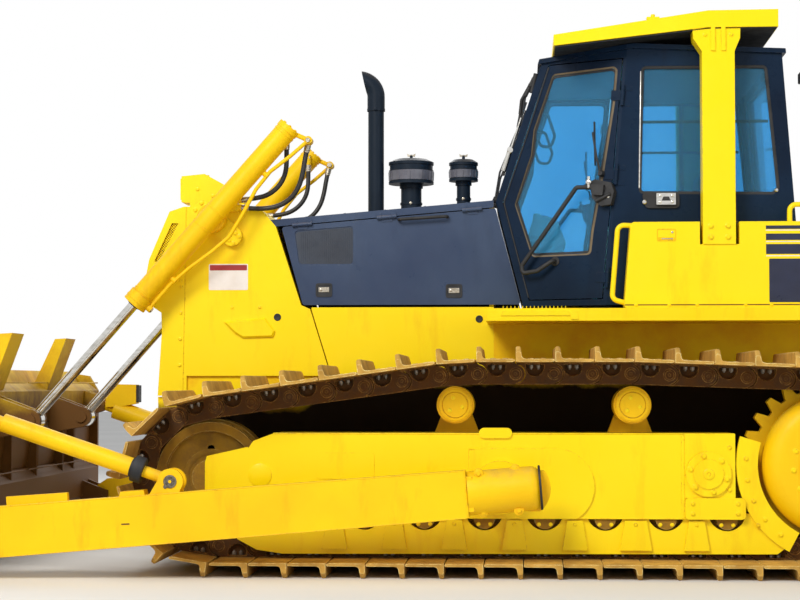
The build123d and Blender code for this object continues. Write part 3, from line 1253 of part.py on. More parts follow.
def tilt_cylinder():
    """Tilt cylinder in the right brace's place, with the cover over its hose ends."""
    y = -ARM_MIDDLE_Y
    (x0, z0), (x1, z1) = brace_line()
    d = Vector(x1 - x0, 0, z1 - z0).normalized()
    barrel = rod((x0 + TILT_ROD_SHOWN * d.X, y, z0 + TILT_ROD_SHOWN * d.Z),
                 (x1 - 118 * d.X, y, z1 - 118 * d.Z), TILT_BARREL_R)
    stem = rod((x0, y, z0), (x1, y, z1), BRACE_STEM_R)
    cover = side_plate([(2077, 872), (2077, 1000), (2284, 1004), (2284, 850), (2180, 850)], y - 55, y + 55)
    body = join([stem, barrel, cover] + brace_eyes(y))
    for bore in brace_pins(y, RUN_CLEAR):
        body -= bore
    return body


# ---------------------------------------------------------------- lift cylinders
LIFT_AXIS = Vector(LIFT_EYE_X - LIFT_PIVOT_X, 0, LIFT_EYE_Z - LIFT_PIVOT_Z).normalized()


def lift_point(distance):
    """Point on the left cylinder's axis, measured from its pivot towards the blade."""
    return (LIFT_PIVOT_X + distance * LIFT_AXIS.X, LIFT_Y, LIFT_PIVOT_Z + distance * LIFT_AXIS.Z)


def beside_barrel(along, below, y=LIFT_Y):
    """Point along the left cylinder from its pivot and square to it, towards the hood."""
    return (LIFT_PIVOT_X + along * LIFT_AXIS.X + below * LIFT_AXIS.Z, y,
            LIFT_PIVOT_Z + along * LIFT_AXIS.Z - below * LIFT_AXIS.X)


def lift_barrel():
    """Barrel with its side trunnion, gland, hose ports and the steel tube to the gland."""
    casing = rod(lift_point(-BARREL_BEHIND), lift_point(BARREL_AHEAD), BARREL_R)
    gland = rod(lift_point(BARREL_AHEAD - 70), lift_point(BARREL_AHEAD), BARREL_R + 8)
    head = rod(lift_point(-BARREL_BEHIND), lift_point(-BARREL_BEHIND + 34), BARREL_R + 4)
    ear = disc(LIFT_PIVOT_X, LIFT_PIVOT_Z, 80, LIFT_Y - BARREL_R - 40, LIFT_Y - 20)
    hose_top = HEAD_HOSE[0]
    port = disc(hose_top[0], hose_top[2] + 47, 16, hose_top[1] - 8, LIFT_Y)
    elbow = end_fitting(hose_top, HEAD_HOSE[1], 62, HOSE_R + 5)
    tee_along, tee_below = TUBE_ROUTE[0]
    x, _, z = beside_barrel(tee_along, tee_below)
    tee = disc(x, z, 22, GLAND_HOSE[0][1] - 18, LIFT_Y + 20)
    stay = rod(beside_barrel(-BARREL_BEHIND + 16, 40), beside_barrel(tee_along, tee_below), 14)
    spout = end_fitting(GLAND_HOSE[0], GLAND_HOSE[1], 25, HOSE_R + 4)
    oil_tube = tube([beside_barrel(*place) for place in TUBE_ROUTE], TUBE_R, TUBE_BEND_R)
    end_port = rod(beside_barrel(TUBE_ROUTE[-1][0], 40), beside_barrel(TUBE_ROUTE[-1][0], 96), 19)
    clips = [rod(beside_barrel(at, 50), beside_barrel(at, 92), 16) for at in (-390, 400)]
    body = join([casing, gland, head, ear, port, elbow, tee, stay, spout, oil_tube, end_port] + clips)
    body -= rod(lift_point(-BARREL_BEHIND + 40), lift_point(BARREL_AHEAD + 1), BARREL_BORE_R)
    body -= disc(LIFT_PIVOT_X, LIFT_PIVOT_Z, 46 + RUN_CLEAR, LIFT_Y - BARREL_R - 60, LIFT_Y - BARREL_R - 5)
    guide = rod(lift_point(BARREL_AHEAD - 60), lift_point(BARREL_AHEAD), BARREL_BORE_R + 3)
    guide -= rod(lift_point(BARREL_AHEAD - 70), lift_point(BARREL_AHEAD + 10), ROD_R + ROD_SLACK)
    return join([body, guide])


def bend_radii(route):
    """The largest even bend at each corner of a hose's route."""
    radii = []
    for a, b, c in zip(route, route[1:], route[2:]):
        into, away = Vector(*b) - Vector(*a), Vector(*c) - Vector(*b)
        turn = math.radians(into.get_angle(away))
        radii.append(0.45 * min(into.length, away.length) / math.tan(turn / 2))
    return radii


def lift_hose(route):
    radii = bend_radii(route)
    print("hose bend radii", [round(r) for r in radii])
    return tube(route, HOSE_R, radii)


def lift_rod():
    eye_at = math.dist((LIFT_PIVOT_X, LIFT_PIVOT_Z), (LIFT_EYE_X, LIFT_EYE_Z))
    stem = rod(lift_point(eye_at - ROD_TAIL), lift_point(eye_at), ROD_R)
    piston = rod(lift_point(eye_at - ROD_TAIL), lift_point(eye_at - ROD_TAIL + 70), BARREL_BORE_R - 0.5)
    eye = disc(LIFT_EYE_X, LIFT_EYE_Z, EYE_R, LIFT_Y - EYE_WIDTH / 2, LIFT_Y + EYE_WIDTH / 2)
    body = join([stem, piston, eye])
    return body - disc(LIFT_EYE_X, LIFT_EYE_Z, 36, LIFT_Y - EYE_WIDTH, LIFT_Y + EYE_WIDTH)


# ---------------------------------------------------------------- the nodes
os.makedirs("parts", exist_ok=True)

left_track = track()
left_frame = track_frame()
save("track_left", left_track)
save("track_right", right_of(left_track))
save("track_frame_left", left_frame)
save("track_frame_right", right_of(left_frame))
save("idlers", *both_sides(idler()))
save("sprockets", *both_sides(sprocket()))
save("track_rollers", *[w for r in bottom_rollers() for w in both_sides(r)])
save("carrier_rollers", *[w for r in carrier_rollers() for w in both_sides(r)])
save("main_frame", main_frame())
save("engine_block", engine_block())
save("radiator_guard", radiator_guard())
save("front_grille", front_grille())
save("engine_hood", engine_hood())
save("hull_sides", *both_sides(lower_side()))
left_engine_door = engine_door()
save("engine_door_left", left_engine_door)
save("engine_door_right", right_of(left_engine_door))
shell, panes, door, door_pane = cab_parts()
save("cab_shell", shell)
save("cab_windows", *panes)
save("cab_door_left", door)
save("cab_door_right", right_of(door))
save("cab_door_glass_left", door_pane)
save("cab_door_glass_right", right_of(door_pane))
save("operator_seat", operator_seat())
save("consoles", *console())
save("rops_frame", rops_frame())
save("fenders", *both_sides(fender()))
save("side_boxes", *both_sides(side_box()))
save("fuel_tank", fuel_tank())
save("exhaust_stack", exhaust_stack())
save("precleaners", *precleaners())
save("head_lamps", *head_lamps())
left_arm = push_arm()
save("push_arm_left", left_arm)
save("push_arm_right", right_of(left_arm))
save("blade", blade())
save("cutting_edges", cutting_edges())
save("blade_brace", blade_brace())
save("tilt_cylinder", tilt_cylinder())
left_barrel, left_rod = lift_barrel(), lift_rod()
save("lift_barrel_left", left_barrel)
save("lift_barrel_right", right_of(left_barrel))
save("lift_rod_left", left_rod)
save("lift_rod_right", right_of(left_rod))
for hose_name, route in (("head_hose", HEAD_HOSE), ("gland_hose", GLAND_HOSE)):
    hose = lift_hose(route)
    save(f"{hose_name}_left", hose)
    save(f"{hose_name}_right", right_of(hose))
print("idler station", round(IDLER_X, 1))
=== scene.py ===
import math

import bmesh
import bpy
from mathutils import Matrix, Vector


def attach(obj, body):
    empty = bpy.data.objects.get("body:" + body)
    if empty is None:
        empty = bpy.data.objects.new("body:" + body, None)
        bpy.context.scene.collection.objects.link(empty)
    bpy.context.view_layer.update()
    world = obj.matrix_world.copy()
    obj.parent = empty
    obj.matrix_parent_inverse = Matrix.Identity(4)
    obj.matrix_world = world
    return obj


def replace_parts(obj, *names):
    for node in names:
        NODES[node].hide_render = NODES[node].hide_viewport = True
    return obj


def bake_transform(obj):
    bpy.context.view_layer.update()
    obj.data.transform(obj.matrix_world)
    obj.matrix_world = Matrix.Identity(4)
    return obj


# A crawler dozer: the CAD nodes get their finishes here, and the finer pieces are added.
# Metres, +X forward, +Y the machine's left, +Z up; shapes are drawn in millimetres.
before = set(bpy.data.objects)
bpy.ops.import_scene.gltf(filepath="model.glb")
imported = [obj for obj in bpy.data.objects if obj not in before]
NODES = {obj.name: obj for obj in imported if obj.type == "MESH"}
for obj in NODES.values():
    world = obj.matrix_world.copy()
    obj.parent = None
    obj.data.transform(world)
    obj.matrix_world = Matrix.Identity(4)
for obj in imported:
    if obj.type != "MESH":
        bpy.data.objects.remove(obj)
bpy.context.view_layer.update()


# ---------------------------------------------------------------- colours, as a screen shows them
YELLOW = (253, 221, 2)
YELLOW_PALE = (254, 228, 24)
YELLOW_DEEP = (236, 178, 2)
YELLOW_IRON = (251, 206, 2)
DUST = (176, 148, 104)
NAVY = (10, 26, 46)
NAVY_LIGHT = (24, 48, 74)
HOOD = (48, 62, 90)


def linear(colour):
    """Scene-linear colour of a screen colour; a node's output stays as it is."""
    if isinstance(colour, bpy.types.NodeSocket):
        return colour
    shares = (c / 255 for c in colour)
    return (*(c / 12.92 if c <= 0.04045 else ((c + 0.055) / 1.055) ** 2.4 for c in shares), 1.0)


# ---------------------------------------------------------------- material kit
class Look:
    """A node material put together piece by piece."""

    def __init__(self, name):
        self.mat = bpy.data.materials.new(name)
        self.mat.use_nodes = True
        self.tree = self.mat.node_tree
        self.shader = self.tree.nodes["Principled BSDF"]
        self.coords = self.add("TexCoord").outputs["Object"]

    def add(self, kind, *values, **settings):
        """A new node; values go into its first sockets, or into named ones as (socket, value)."""
        node = self.tree.nodes.new(f"ShaderNode{kind}")
        for key, value in settings.items():
            setattr(node, key, value)
        for i, value in enumerate(values):
            self.put(node, *(value if isinstance(value, tuple) else (i, value)))
        return node

    def put(self, node, socket, value):
        target = node.inputs[socket]
        if isinstance(value, bpy.types.NodeSocket):
            self.tree.links.new(value, target)
        else:
            target.default_value = value

    def noise(self, scale, detail, rough, stretch=(1, 1, 1)):
        mapping = self.add("Mapping", ("Vector", self.coords), ("Scale", stretch))
        return self.add("TexNoise", ("Vector", mapping.outputs[0]), ("Scale", scale), ("Detail", detail),
                        ("Roughness", rough)).outputs["Fac"]

    def spread(self, value, low, high, out_low=0.0, out_high=1.0):
        return self.add("MapRange", ("Value", value), ("From Min", low), ("From Max", high), ("To Min", out_low),
                        ("To Max", out_high), clamp=True).outputs[0]

    def patches(self, scale, detail, rough, low, high, out_low=0.0, out_high=1.0, stretch=(1, 1, 1)):
        """Noise with its middle spread over a range."""
        return self.spread(self.noise(scale, detail, rough, stretch), low, high, out_low, out_high)

    def plus(self, a, b):
        return self.add("Math", a, b, operation="ADD").outputs[0]

    def times(self, a, b):
        return self.add("Math", a, b, operation="MULTIPLY").outputs[0]

    def mix(self, share, a, b):
        return self.add("Mix", (0, share), (6, linear(a)), (7, linear(b)), data_type="RGBA", blend_type="MIX",
                        clamp_factor=True).outputs[2]

    def part(self, vector, axis):
        return self.add("SeparateXYZ", vector).outputs[axis]

    def normal(self):
        return self.add("NewGeometry").outputs["Normal"]

    def edges(self, radius=0.006):
        """High along sharp edges, from a bevelled normal against the true one."""
        bevel = self.add("Bevel", ("Radius", radius), samples=4).outputs[0]
        dot = self.add("VectorMath", bevel, self.normal(), operation="DOT_PRODUCT")
        return self.spread(dot.outputs["Value"], 0.995, 0.82)

    def enamel(self, colour, deep):
        """Paint with deeper patches."""
        return self.mix(self.patches(4.0, 6, 0.6, 0.42, 0.75), colour, deep)

    def wavering(self, height, reach):
        """A height that wanders by a reach either way."""
        return self.plus(height, self.patches(3.0, 7, 0.65, 0.3, 0.7, -reach, reach))

    def bump(self, height, strength, distance):
        node = self.add("Bump", ("Height", height), ("Strength", strength), ("Distance", distance))
        self.put(self.shader, "Normal", node.outputs[0])
        return self.mat

    def set(self, **values):
        for socket, value in values.items():
            self.put(self.shader, socket.replace("_", " "), value)
        return self.mat


def paint(name, colour, pale, deep, chips, gloss=0.38, dust=0.16, sheen=0.22):
    """Enamel with slight unevenness, dust where it faces up, and worn edges."""
    look = Look(name)
    colour = look.mix(look.times(look.patches(1.7, 5, 0.55, 0.36, 0.68), 0.55), colour, pale)
    colour = look.mix(look.patches(5.0, 7, 0.66, 0.55, 0.78, 0, 0.6, stretch=(1, 1, 0.25)), colour, deep)
    lying = look.spread(look.part(look.normal(), 2), 0.3, 0.95)
    powder = look.times(lying, look.patches(9.0, 8, 0.7, 0.4, 0.72))
    colour = look.mix(look.times(powder, dust * 2.2), colour, DUST)
    worn = look.times(look.edges(), look.patches(38.0, 5, 0.7, 0.5, 0.62))
    colour = look.mix(look.times(worn, 0.75), colour, chips)
    look.set(Base_Color=colour, Roughness=look.patches(14.0, 6, 0.6, 0.3, 0.75, gloss - 0.07, gloss + 0.16),
             Specular_IOR_Level=sheen, Coat_Weight=sheen / 5, Coat_Roughness=0.22)
    return look.bump(look.noise(420.0, 2, 0.5), 0.06, 0.0006)


def hull_paint(name, colour, deep, soil_and_shade, low, high):
    """Hull side: enamel above, dark brown painted shade below a wavering line that lies lower at the nose."""
    look = Look(name)
    nose = look.spread(look.part(look.coords, 0), 0.45, 0.75, 0, 0.16)
    share = look.spread(look.wavering(look.plus(look.part(look.coords, 2), nose), 0.03), low, high)
    # The dark colour mixed in below the line is painted shade of the hull under the track.
    look.set(Base_Color=look.mix(share, soil_and_shade, look.enamel(colour, deep)),
             Roughness=look.spread(share, 0, 1, 0.9, 0.5), Specular_IOR_Level=0.2)
    return look.bump(look.noise(40.0, 8, 0.7), 0.4, 0.002)


def blade_paint(name, colour, deep, soil_and_shade, steel, shine):
    """Hull paint behind, turned dark brown below a wavering height as painted shade, and worn steel with some paint
    left on the side that pushes.
    """
    look = Look(name)
    high = look.wavering(look.part(look.coords, 2), 0.09)
    # Below the wavering height the back of the blade is painted shade in dark brown.
    behind = look.mix(look.spread(high, 0.84, 1.12), soil_and_shade, look.enamel(colour, deep))
    scour = look.mix(look.patches(60.0, 4, 0.6, 0.4, 0.66, stretch=(1, 0.1, 1)), steel, shine)
    rust = look.mix(look.patches(2.6, 8, 0.7, 0.5, 0.7, 0, 0.8), scour, soil_and_shade)
    left = look.times(look.spread(high, 0.9, 1.1), look.patches(5.0, 8, 0.7, 0.4, 0.5))
    pushing = look.spread(look.part(look.normal(), 0), 0.25, 0.5)
    look.set(Base_Color=look.mix(pushing, behind, look.mix(left, rust, colour)),
             Roughness=look.spread(pushing, 0, 1, 0.6, 0.42), Metallic=look.times(pushing, 0.45),
             Specular_IOR_Level=0.25)
    return look.bump(look.noise(40.0, 8, 0.7), 0.4, 0.002)


def bare_metal(name, dark, light, gloss, metal=0.75):
    """Worked steel, blotched and scratched."""
    look = Look(name)
    scratch = look.patches(90.0, 3, 0.6, 0.5, 0.75, stretch=(0.12, 1, 1))
    look.set(Base_Color=look.mix(look.patches(24.0, 8, 0.68, 0.35, 0.7), dark, light),
             Roughness=look.spread(scratch, 0, 1, gloss - 0.08, gloss + 0.15), Metallic=metal)
    return look.bump(look.noise(96.0, 6, 0.7), 0.35, 0.0015)


def soiled_steel(name, soil_and_shade, steel, shine, dirt, scale=11.0):
    """Track steel: earth in the hollows and polished metal on the edges."""
    look = Look(name)
    caked = look.patches(scale, 9, 0.72, 0.38, 0.62)
    worn = look.times(look.edges(0.008), look.patches(30.0, 5, 0.7, 0.4, 0.6))
    look.set(Base_Color=look.mix(worn, look.mix(look.times(caked, dirt), steel, soil_and_shade), shine),
             Roughness=look.spread(worn, 0, 1, 0.86, 0.4), Metallic=look.spread(caked, 0, 1, 0.5, 0.1))
    return look.bump(look.noise(scale * 9, 9, 0.75), 0.6, 0.004)


def chrome(name, clean, smeared):
    look = Look(name)
    smear = look.patches(16.0, 5, 0.6, 0.4, 0.75, stretch=(1, 1, 3))
    return look.set(Base_Color=look.mix(smear, clean, smeared), Roughness=look.spread(smear, 0, 1, 0.08, 0.24),
                    Metallic=1.0)


def glass(name, tint, deep):
    look = Look(name)
    streak = look.patches(2.4, 5, 0.55, 0.35, 0.7, stretch=(1, 1, 0.5))
    return look.set(Base_Color=look.mix(streak, tint, deep),
                    Roughness=look.patches(30.0, 5, 0.6, 0.35, 0.8, 0.02, 0.07),
                    Transmission_Weight=0.86, IOR=1.18)


def plastic(name, colour, pale, gloss=0.55, grain=260.0):
    look = Look(name)
    look.set(Base_Color=look.mix(look.patches(6.0, 6, 0.6, 0.35, 0.7), colour, pale),
             Roughness=look.patches(20.0, 5, 0.6, 0.3, 0.7, gloss - 0.08, gloss + 0.14))
    return look.bump(look.noise(grain, 3, 0.6), 0.12, 0.0008)


LOOKS = {
    "yellow": paint("yellow_paint", YELLOW, YELLOW_PALE, YELLOW_DEEP, (176, 128, 30)),
    "yellow_low": paint("yellow_iron", YELLOW_IRON, YELLOW_DEEP, (190, 132, 14), (150, 110, 40), gloss=0.5,
                        dust=0.24),
    "navy": paint("cab_blue", NAVY, NAVY_LIGHT, (14, 20, 36), (60, 66, 78), gloss=0.3, dust=0.06, sheen=0.1),
    "hood": paint("hood_grey", HOOD, (70, 86, 112), (44, 56, 78), (98, 106, 118), gloss=0.34, dust=0.14),
    "black": paint("stack_black", (24, 34, 46), (36, 48, 62), (16, 20, 26), (70, 66, 62), gloss=0.42, dust=0.06,
                   sheen=0.1),
    # The dark brown (36, 24, 8) of the main frame is painted shade under the track.
    "hull_shade": hull_paint("hull_sides", YELLOW, YELLOW_DEEP, (36, 24, 8), 0.99, 1.06),
    # The dark brown (104, 68, 22) is painted shade on the blade's back below its wavering height, and rust on the
    # worn front.
    "blade": blade_paint("blade_sides", (246, 204, 16), (214, 158, 22), (104, 68, 22), (132, 120, 102),
                         (186, 178, 164)),
    "link": soiled_steel("track_links", (62, 38, 12), (100, 64, 22), (196, 146, 66), 0.8),
    "shoe": soiled_steel("track_shoes", (148, 104, 32), (214, 172, 84), (252, 236, 164), 0.75, scale=7.0),
    "idler": soiled_steel("idler_steel", (112, 80, 24), (168, 128, 36), (196, 168, 90), 0.7),
    "edge": bare_metal("edge_steel", (92, 84, 74), (150, 142, 130), 0.45),
    "engine": bare_metal("engine_iron", (60, 56, 50), (96, 90, 82), 0.6, metal=0.4),
    "bright": bare_metal("zinc_plate", (150, 140, 122), (206, 200, 188), 0.34, metal=0.85),
    "chrome": chrome("rod_chrome", (214, 212, 206), (170, 166, 158)),
    "glass": glass("tinted_glass", (128, 206, 246), (112, 192, 236)),
    "lens": glass("lamp_lens", (236, 238, 240), (210, 214, 218)),
    "dark": plastic("dark_recess", (16, 18, 22), (30, 32, 36), 0.6),
    "rubber": plastic("black_rubber", (20, 20, 22), (36, 36, 38), 0.62, 500.0),
    "hose": plastic("hose_rubber", (16, 16, 18), (40, 38, 36), 0.5, 600.0),
    "seal": plastic("seal_brown", (120, 104, 78), (90, 78, 58), 0.6, 500.0),
    "plate": plastic("sign_plate", (238, 234, 230), (222, 214, 206), 0.4),
    "signal_red": plastic("sign_header", (168, 30, 30), (140, 26, 28), 0.4),
    "stripe": plastic("navy_stripe", (14, 20, 48), (22, 30, 62), 0.35),
    "shadow": plastic("seam_shadow", (120, 84, 8), (96, 66, 8), 0.7),
    "smoke": plastic("smoked_bowl", (84, 84, 94), (116, 116, 126), 0.3),
    "hood_dark": plastic("hood_screen", (34, 42, 56), (44, 54, 70), 0.5),
    "pale": plastic("pale_plastic", (206, 216, 196), (180, 194, 176), 0.5),
    "fabric": plastic("seat_fabric", (46, 48, 54), (62, 64, 70), 0.85, 700.0),
    "plastic": plastic("cab_plastic", (70, 78, 82), (96, 106, 110)),
}

NODE_LOOKS = {
    "yellow": "radiator_guard hull_sides rops_frame fenders side_boxes fuel_tank head_lamps track_frame_left "
              "track_frame_right",
    "yellow_low": "lift_barrel_left lift_barrel_right sprockets carrier_rollers push_arm_left push_arm_right "
                  "blade_brace tilt_cylinder front_grille",
    "hull_shade": "main_frame",
    "blade": "blade",
    "navy": "cab_shell cab_door_left cab_door_right",
    "hood": "engine_hood engine_door_left engine_door_right",
    "link": "track_left track_right",
    "idler": "idlers track_rollers",
    "hose": "head_hose_left head_hose_right gland_hose_left gland_hose_right",
    "chrome": "lift_rod_left lift_rod_right",
    "edge": "cutting_edges",
    "black": "exhaust_stack precleaners",
    "engine": "engine_block",
    "glass": "cab_windows cab_door_glass_left cab_door_glass_right",
    "fabric": "operator_seat",
    "plastic": "consoles",
}


def dress(obj, look):
    obj.data.materials.clear()
    obj.data.materials.append(LOOKS[look])


for node_look, node_names in NODE_LOOKS.items():
    for node_name in node_names.split():
        dress(NODES[node_name], node_look)


# ---------------------------------------------------------------- shape kit, in millimetres
OUT, UP = (0, 1, 0), (0, 0, 1)


def vec(*p):
    return Vector(p[0]) if len(p) == 1 else Vector(p)


def across(axis):
    """The axis with two directions square to it."""
    axis = vec(axis).normalized()
    u = axis.orthogonal().normalized()
    return axis, u, axis.cross(u)


def rounded(points, bend, steps=5, closed=False):
    """The points with each corner turned into an arc."""
    points = [vec(p) for p in points]
    count = len(points)
    out = []
    for i, corner in enumerate(points):
        if not closed and i in (0, count - 1):
            out.append(corner)
            continue
        into, away = points[i - 1] - corner, points[(i + 1) % count] - corner
        reach = min(bend / math.tan(into.angle(away) / 2), into.length * 0.49, away.length * 0.49)
        a, b = corner + into.normalized() * reach, corner + away.normalized() * reach
        for t in (k / steps for k in range(steps + 1)):
            out.append(a * (1 - t) ** 2 + corner * 2 * t * (1 - t) + b * t ** 2)
    return out


def circle(radius, sides=12):
    return [(radius * math.cos(math.tau * k / sides), radius * math.sin(math.tau * k / sides)) for k in range(sides)]


def arc(cx, cy, radius, start, end, steps=8):
    angles = [math.radians(start + (end - start) * k / steps) for k in range(steps + 1)]
    return [(cx + radius * math.cos(a), cy + radius * math.sin(a)) for a in angles]


class Shape:
    """Closed shells gathered in millimetres, then made into one named piece."""

    def __init__(self):
        self.points, self.faces = [], []

    def add(self, points, faces, place=None):
        base = len(self.points)
        self.points += [place @ vec(p) if place else vec(p) for p in points]
        self.faces += [[base + i for i in face] for face in faces]
        return self

    def rings(self, rings, closed=False):
        n, count = len(rings[0]), len(rings)
        faces = []
        for i in range(count if closed else count - 1):
            a, b = i * n, (i + 1) % count * n
            faces += [[a + k, a + (k + 1) % n, b + (k + 1) % n, b + k] for k in range(n)]
        if not closed:
            faces += [list(range(n))[::-1], [(count - 1) * n + k for k in range(n)]]
        return self.add([p for ring in rings for p in ring], faces)

    def prism(self, outline, push):
        return self.rings([outline, [vec(p) + vec(push) for p in outline]])

    def side_plate(self, outline, y0, y1):
        return self.prism([(x, y0, z) for x, z in outline], (0, y1 - y0, 0))

    def panel(self, corners, y, thick, bend, steps=3):
        """Plate facing sideways with rounded corners."""
        line = rounded([(x, 0, z) for x, z in corners], bend, steps, closed=True)
        return self.side_plate([(p.x, p.z) for p in line], y, y + thick)

    def box(self, x0, x1, y0, y1, z0, z1):
        return self.prism([(x0, y0, z0), (x1, y0, z0), (x1, y1, z0), (x0, y1, z0)], (0, 0, z1 - z0))

    def lathe(self, origin, axis, profile, sides=24, bore=0.0):
        """Turned solid from (distance along the axis, radius) pairs, with a bore if one is given."""
        axis, u, v = across(axis)
        if bore:
            profile = [(profile[0][0], bore)] + profile + [(profile[-1][0], bore)]
        return self.rings([
            [vec(origin) + axis * along + (u * a + v * b) * max(radius, 0.02) for a, b in circle(1.0, sides)]
            for along, radius in profile
        ], closed=bool(bore))

    def rod(self, a, b, radius, sides=16, chamfer=1.0):
        length = (vec(b) - vec(a)).length
        return self.lathe(a, vec(b) - vec(a), [(0, radius - chamfer), (chamfer, radius),
                                               (length - chamfer, radius), (length, radius - chamfer)], sides)

    def bolts(self, axis, size, *places):
        """Hexagon heads on their washers."""
        axis = vec(axis).normalized()
        for at in places:
            self.lathe(at, axis, [(-1, size * 1.45), (size * 0.16, size * 1.45), (size * 0.24, size * 1.3)], 16)
            self.lathe(vec(at) + axis * size * 0.2, axis,
                       [(0, size), (size * 0.62, size), (size * 0.76, size * 0.84)], 6)
        return self

    def ring_of_bolts(self, at, axis, radius, count, size, first=0.0):
        axis, u, v = across(axis)
        turns = [math.radians(first) + math.tau * k / count for k in range(count)]
        return self.bolts(axis, size, *[vec(at) + (u * math.cos(a) + v * math.sin(a)) * radius for a in turns])

    def sweep(self, path, section, closed=False, up=OUT, ripple=1.0):
        """A section carried along a path; up is where its first coordinate points, and every
        second ring is scaled by the ripple."""
        path = [vec(p) for p in path]
        count = len(path)
        rings = []
        up = vec(up)
        for i, p in enumerate(path):
            before = path[i - 1] if closed or i else p
            after = path[(i + 1) % count] if closed or i < count - 1 else p
            ahead = (after - before).normalized()
            up = (up - ahead * up.dot(ahead)).normalized()
            side = ahead.cross(up)
            grow = 1.0 if i % 2 else ripple
            rings.append([p + up * a * grow + side * b * grow for a, b in section])
        return self.rings(rings, closed)

    def pipe(self, points, radius, bend=0.0, sides=12):
        path = rounded(points, bend) if bend else points
        return self.sweep(path, circle(radius, sides), up=(vec(path[1]) - vec(path[0])).orthogonal())

    def weld(self, radius, *points):
        """Weld bead with its ripple."""
        path, points = [], [vec(p) for p in points]
        for a, b in zip(points, points[1:]):
            steps = max(2, int((b - a).length / 9))
            path += [a.lerp(b, k / steps) for k in range(steps)]
        path.append(points[-1])
        return self.sweep(path, circle(radius, 6), up=(path[1] - path[0]).orthogonal(), ripple=0.82)

    def other_side(self):
        out = Shape()
        out.points = [Vector((p.x, -p.y, p.z)) for p in self.points]
        out.faces = [face[::-1] for face in self.faces]
        return out

    def mesh(self, name, bevel=0.0, smooth=35.0, segments=2):
        mesh = bpy.data.meshes.new(name)
        mesh.from_pydata([p / 1000 for p in self.points], [], self.faces)
        bm = bmesh.new()
        bm.from_mesh(mesh)
        bmesh.ops.remove_doubles(bm, verts=bm.verts, dist=0.00003)
        bmesh.ops.recalc_face_normals(bm, faces=bm.faces)
        if bevel:
            sharp = [e for e in bm.edges if len(e.link_faces) == 2 and e.calc_face_angle(0) > 0.6]
            bmesh.ops.bevel(bm, geom=sharp, offset=bevel / 1000, segments=segments, affect="EDGES",
                            clamp_overlap=True)
        bm.to_mesh(mesh)
        bm.free()
        for polygon in mesh.polygons:
            polygon.use_smooth = True
        mesh.set_sharp_from_angle(angle=math.radians(smooth))
        return mesh

    def make(self, name, look, body="chassis", **finish):
        return settle(placed(name, self.mesh(name, **finish)), look, body)

    def both(self, name, look, body="chassis", **finish):
        """One piece made of this shape and its mirror image."""
        other = self.other_side()
        return self.add(other.points, other.faces).make(name, look, body, **finish)

    def each(self, name, look, body, **finish):
        """A piece on the left body and its mirror image on the right one."""
        self.make(f"{name}_left", look, f"{body}_left", **finish)
        self.other_side().make(f"{name}_right", look, f"{body}_right", **finish)


def placed(name, data):
    """A new object in the scene."""
    piece = bpy.data.objects.new(name, data)
    bpy.context.scene.collection.objects.link(piece)
    return piece


def settle(piece, look, body):
    """Gives a piece its finish, its slot and, if one is named, the body it rides on."""
    dress(piece, look)
    if body:
        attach(piece, body)
    return piece


def from_curve(curve):
    """Points and faces of a curve, which is then thrown away."""
    holder = bpy.data.objects.new(curve.name, curve)
    mesh = bpy.data.meshes.new_from_object(holder)
    points, faces = [v.co.copy() for v in mesh.vertices], [list(p.vertices) for p in mesh.polygons]
    bpy.data.objects.remove(holder)
    bpy.data.meshes.remove(mesh)
    bpy.data.curves.remove(curve)
    return points, faces


def stamped(outlines, thick, bevel):
    """Points and faces of a plate in its own plane; outlines after the first are holes."""
    curve = bpy.data.curves.new("stamped", "CURVE")
    curve.dimensions, curve.fill_mode = "2D", "BOTH"
    curve.extrude, curve.bevel_depth, curve.offset = thick / 2 - bevel, bevel, -bevel
    curve.bevel_resolution = 0
    for outline in outlines:
        spline = curve.splines.new("POLY")
        spline.points.add(len(outline) - 1)
        for point, (x, y) in zip(spline.points, outline):
            point.co = (x, y, 0, 1)
        spline.use_cyclic_u = True
    return from_curve(curve)


# ---------------------------------------------------------------- tracks
TRACK_Y = 1025.0
PITCH = 203.2
SHOE_GAP = 4.0
SEAT = 60.0                 # shoe seat outside the pin line
SHOE_HALF = 457.5
LINK_OUT_Y = TRACK_Y + 120
TALL, LOW = 50, 20          # a shoe's end face is tall at the grouser and low in front
TRACK_CENTRE = Vector((-500, 0, 550))


def open_edges(polygons, key):
    """Edges, as pairs of keys, that belong to one polygon only."""
    edges = {}
    for polygon in polygons:
        keys = [key(i) for i in polygon.vertices]
        for a, b in zip(keys, keys[1:] + keys[:1]):
            edges.setdefault(frozenset((a, b)), []).append((a, b))
    return [found[0] for found in edges.values() if len(found) == 1]


def shoe_places(node):
    """Each shoe's frame on the pin line, found from its end face in the CAD track."""
    points = [v.co * 1000 for v in NODES[node].data.vertices]
    reach = max(p.y for p in points) - 0.2
    faces = [p for p in NODES[node].data.polygons if min(points[i].y for i in p.vertices) >= reach]
    outline = [(a, b, math.dist(a, b))
               for a, b in open_edges(faces, lambda i: (round(points[i].x, 1), round(points[i].z, 1)))]
    ends = {}
    for a, b, size in outline:
        ends.setdefault(a, []).append(size)
        ends.setdefault(b, []).append(size)
    places = []
    for a, b, size in outline:
        if abs(size - (PITCH - SHOE_GAP)) > 1.5:
            continue
        beside = {end: [s for s in ends[end] if s < size - 1] for end in (a, b)}
        rear, front = (a, b) if max(beside[a]) > TALL else (b, a)
        if max(beside[rear]) < TALL or min(beside[front]) > LOW:
            continue
        along = Vector((front[0] - rear[0], 0, front[1] - rear[1])).normalized()
        middle = Vector(((a[0] + b[0]) / 2, 0, (a[1] + b[1]) / 2))
        outward = Vector((along.z, 0, -along.x))
        if outward.dot(middle - TRACK_CENTRE) < 0:
            outward = -outward
        origin = middle - outward * SEAT
        places.append(Matrix((
            (along.x, 0, outward.x, origin.x), (0, 1, 0, 0), (along.z, 0, outward.z, origin.z), (0, 0, 0, 1))))
    return places


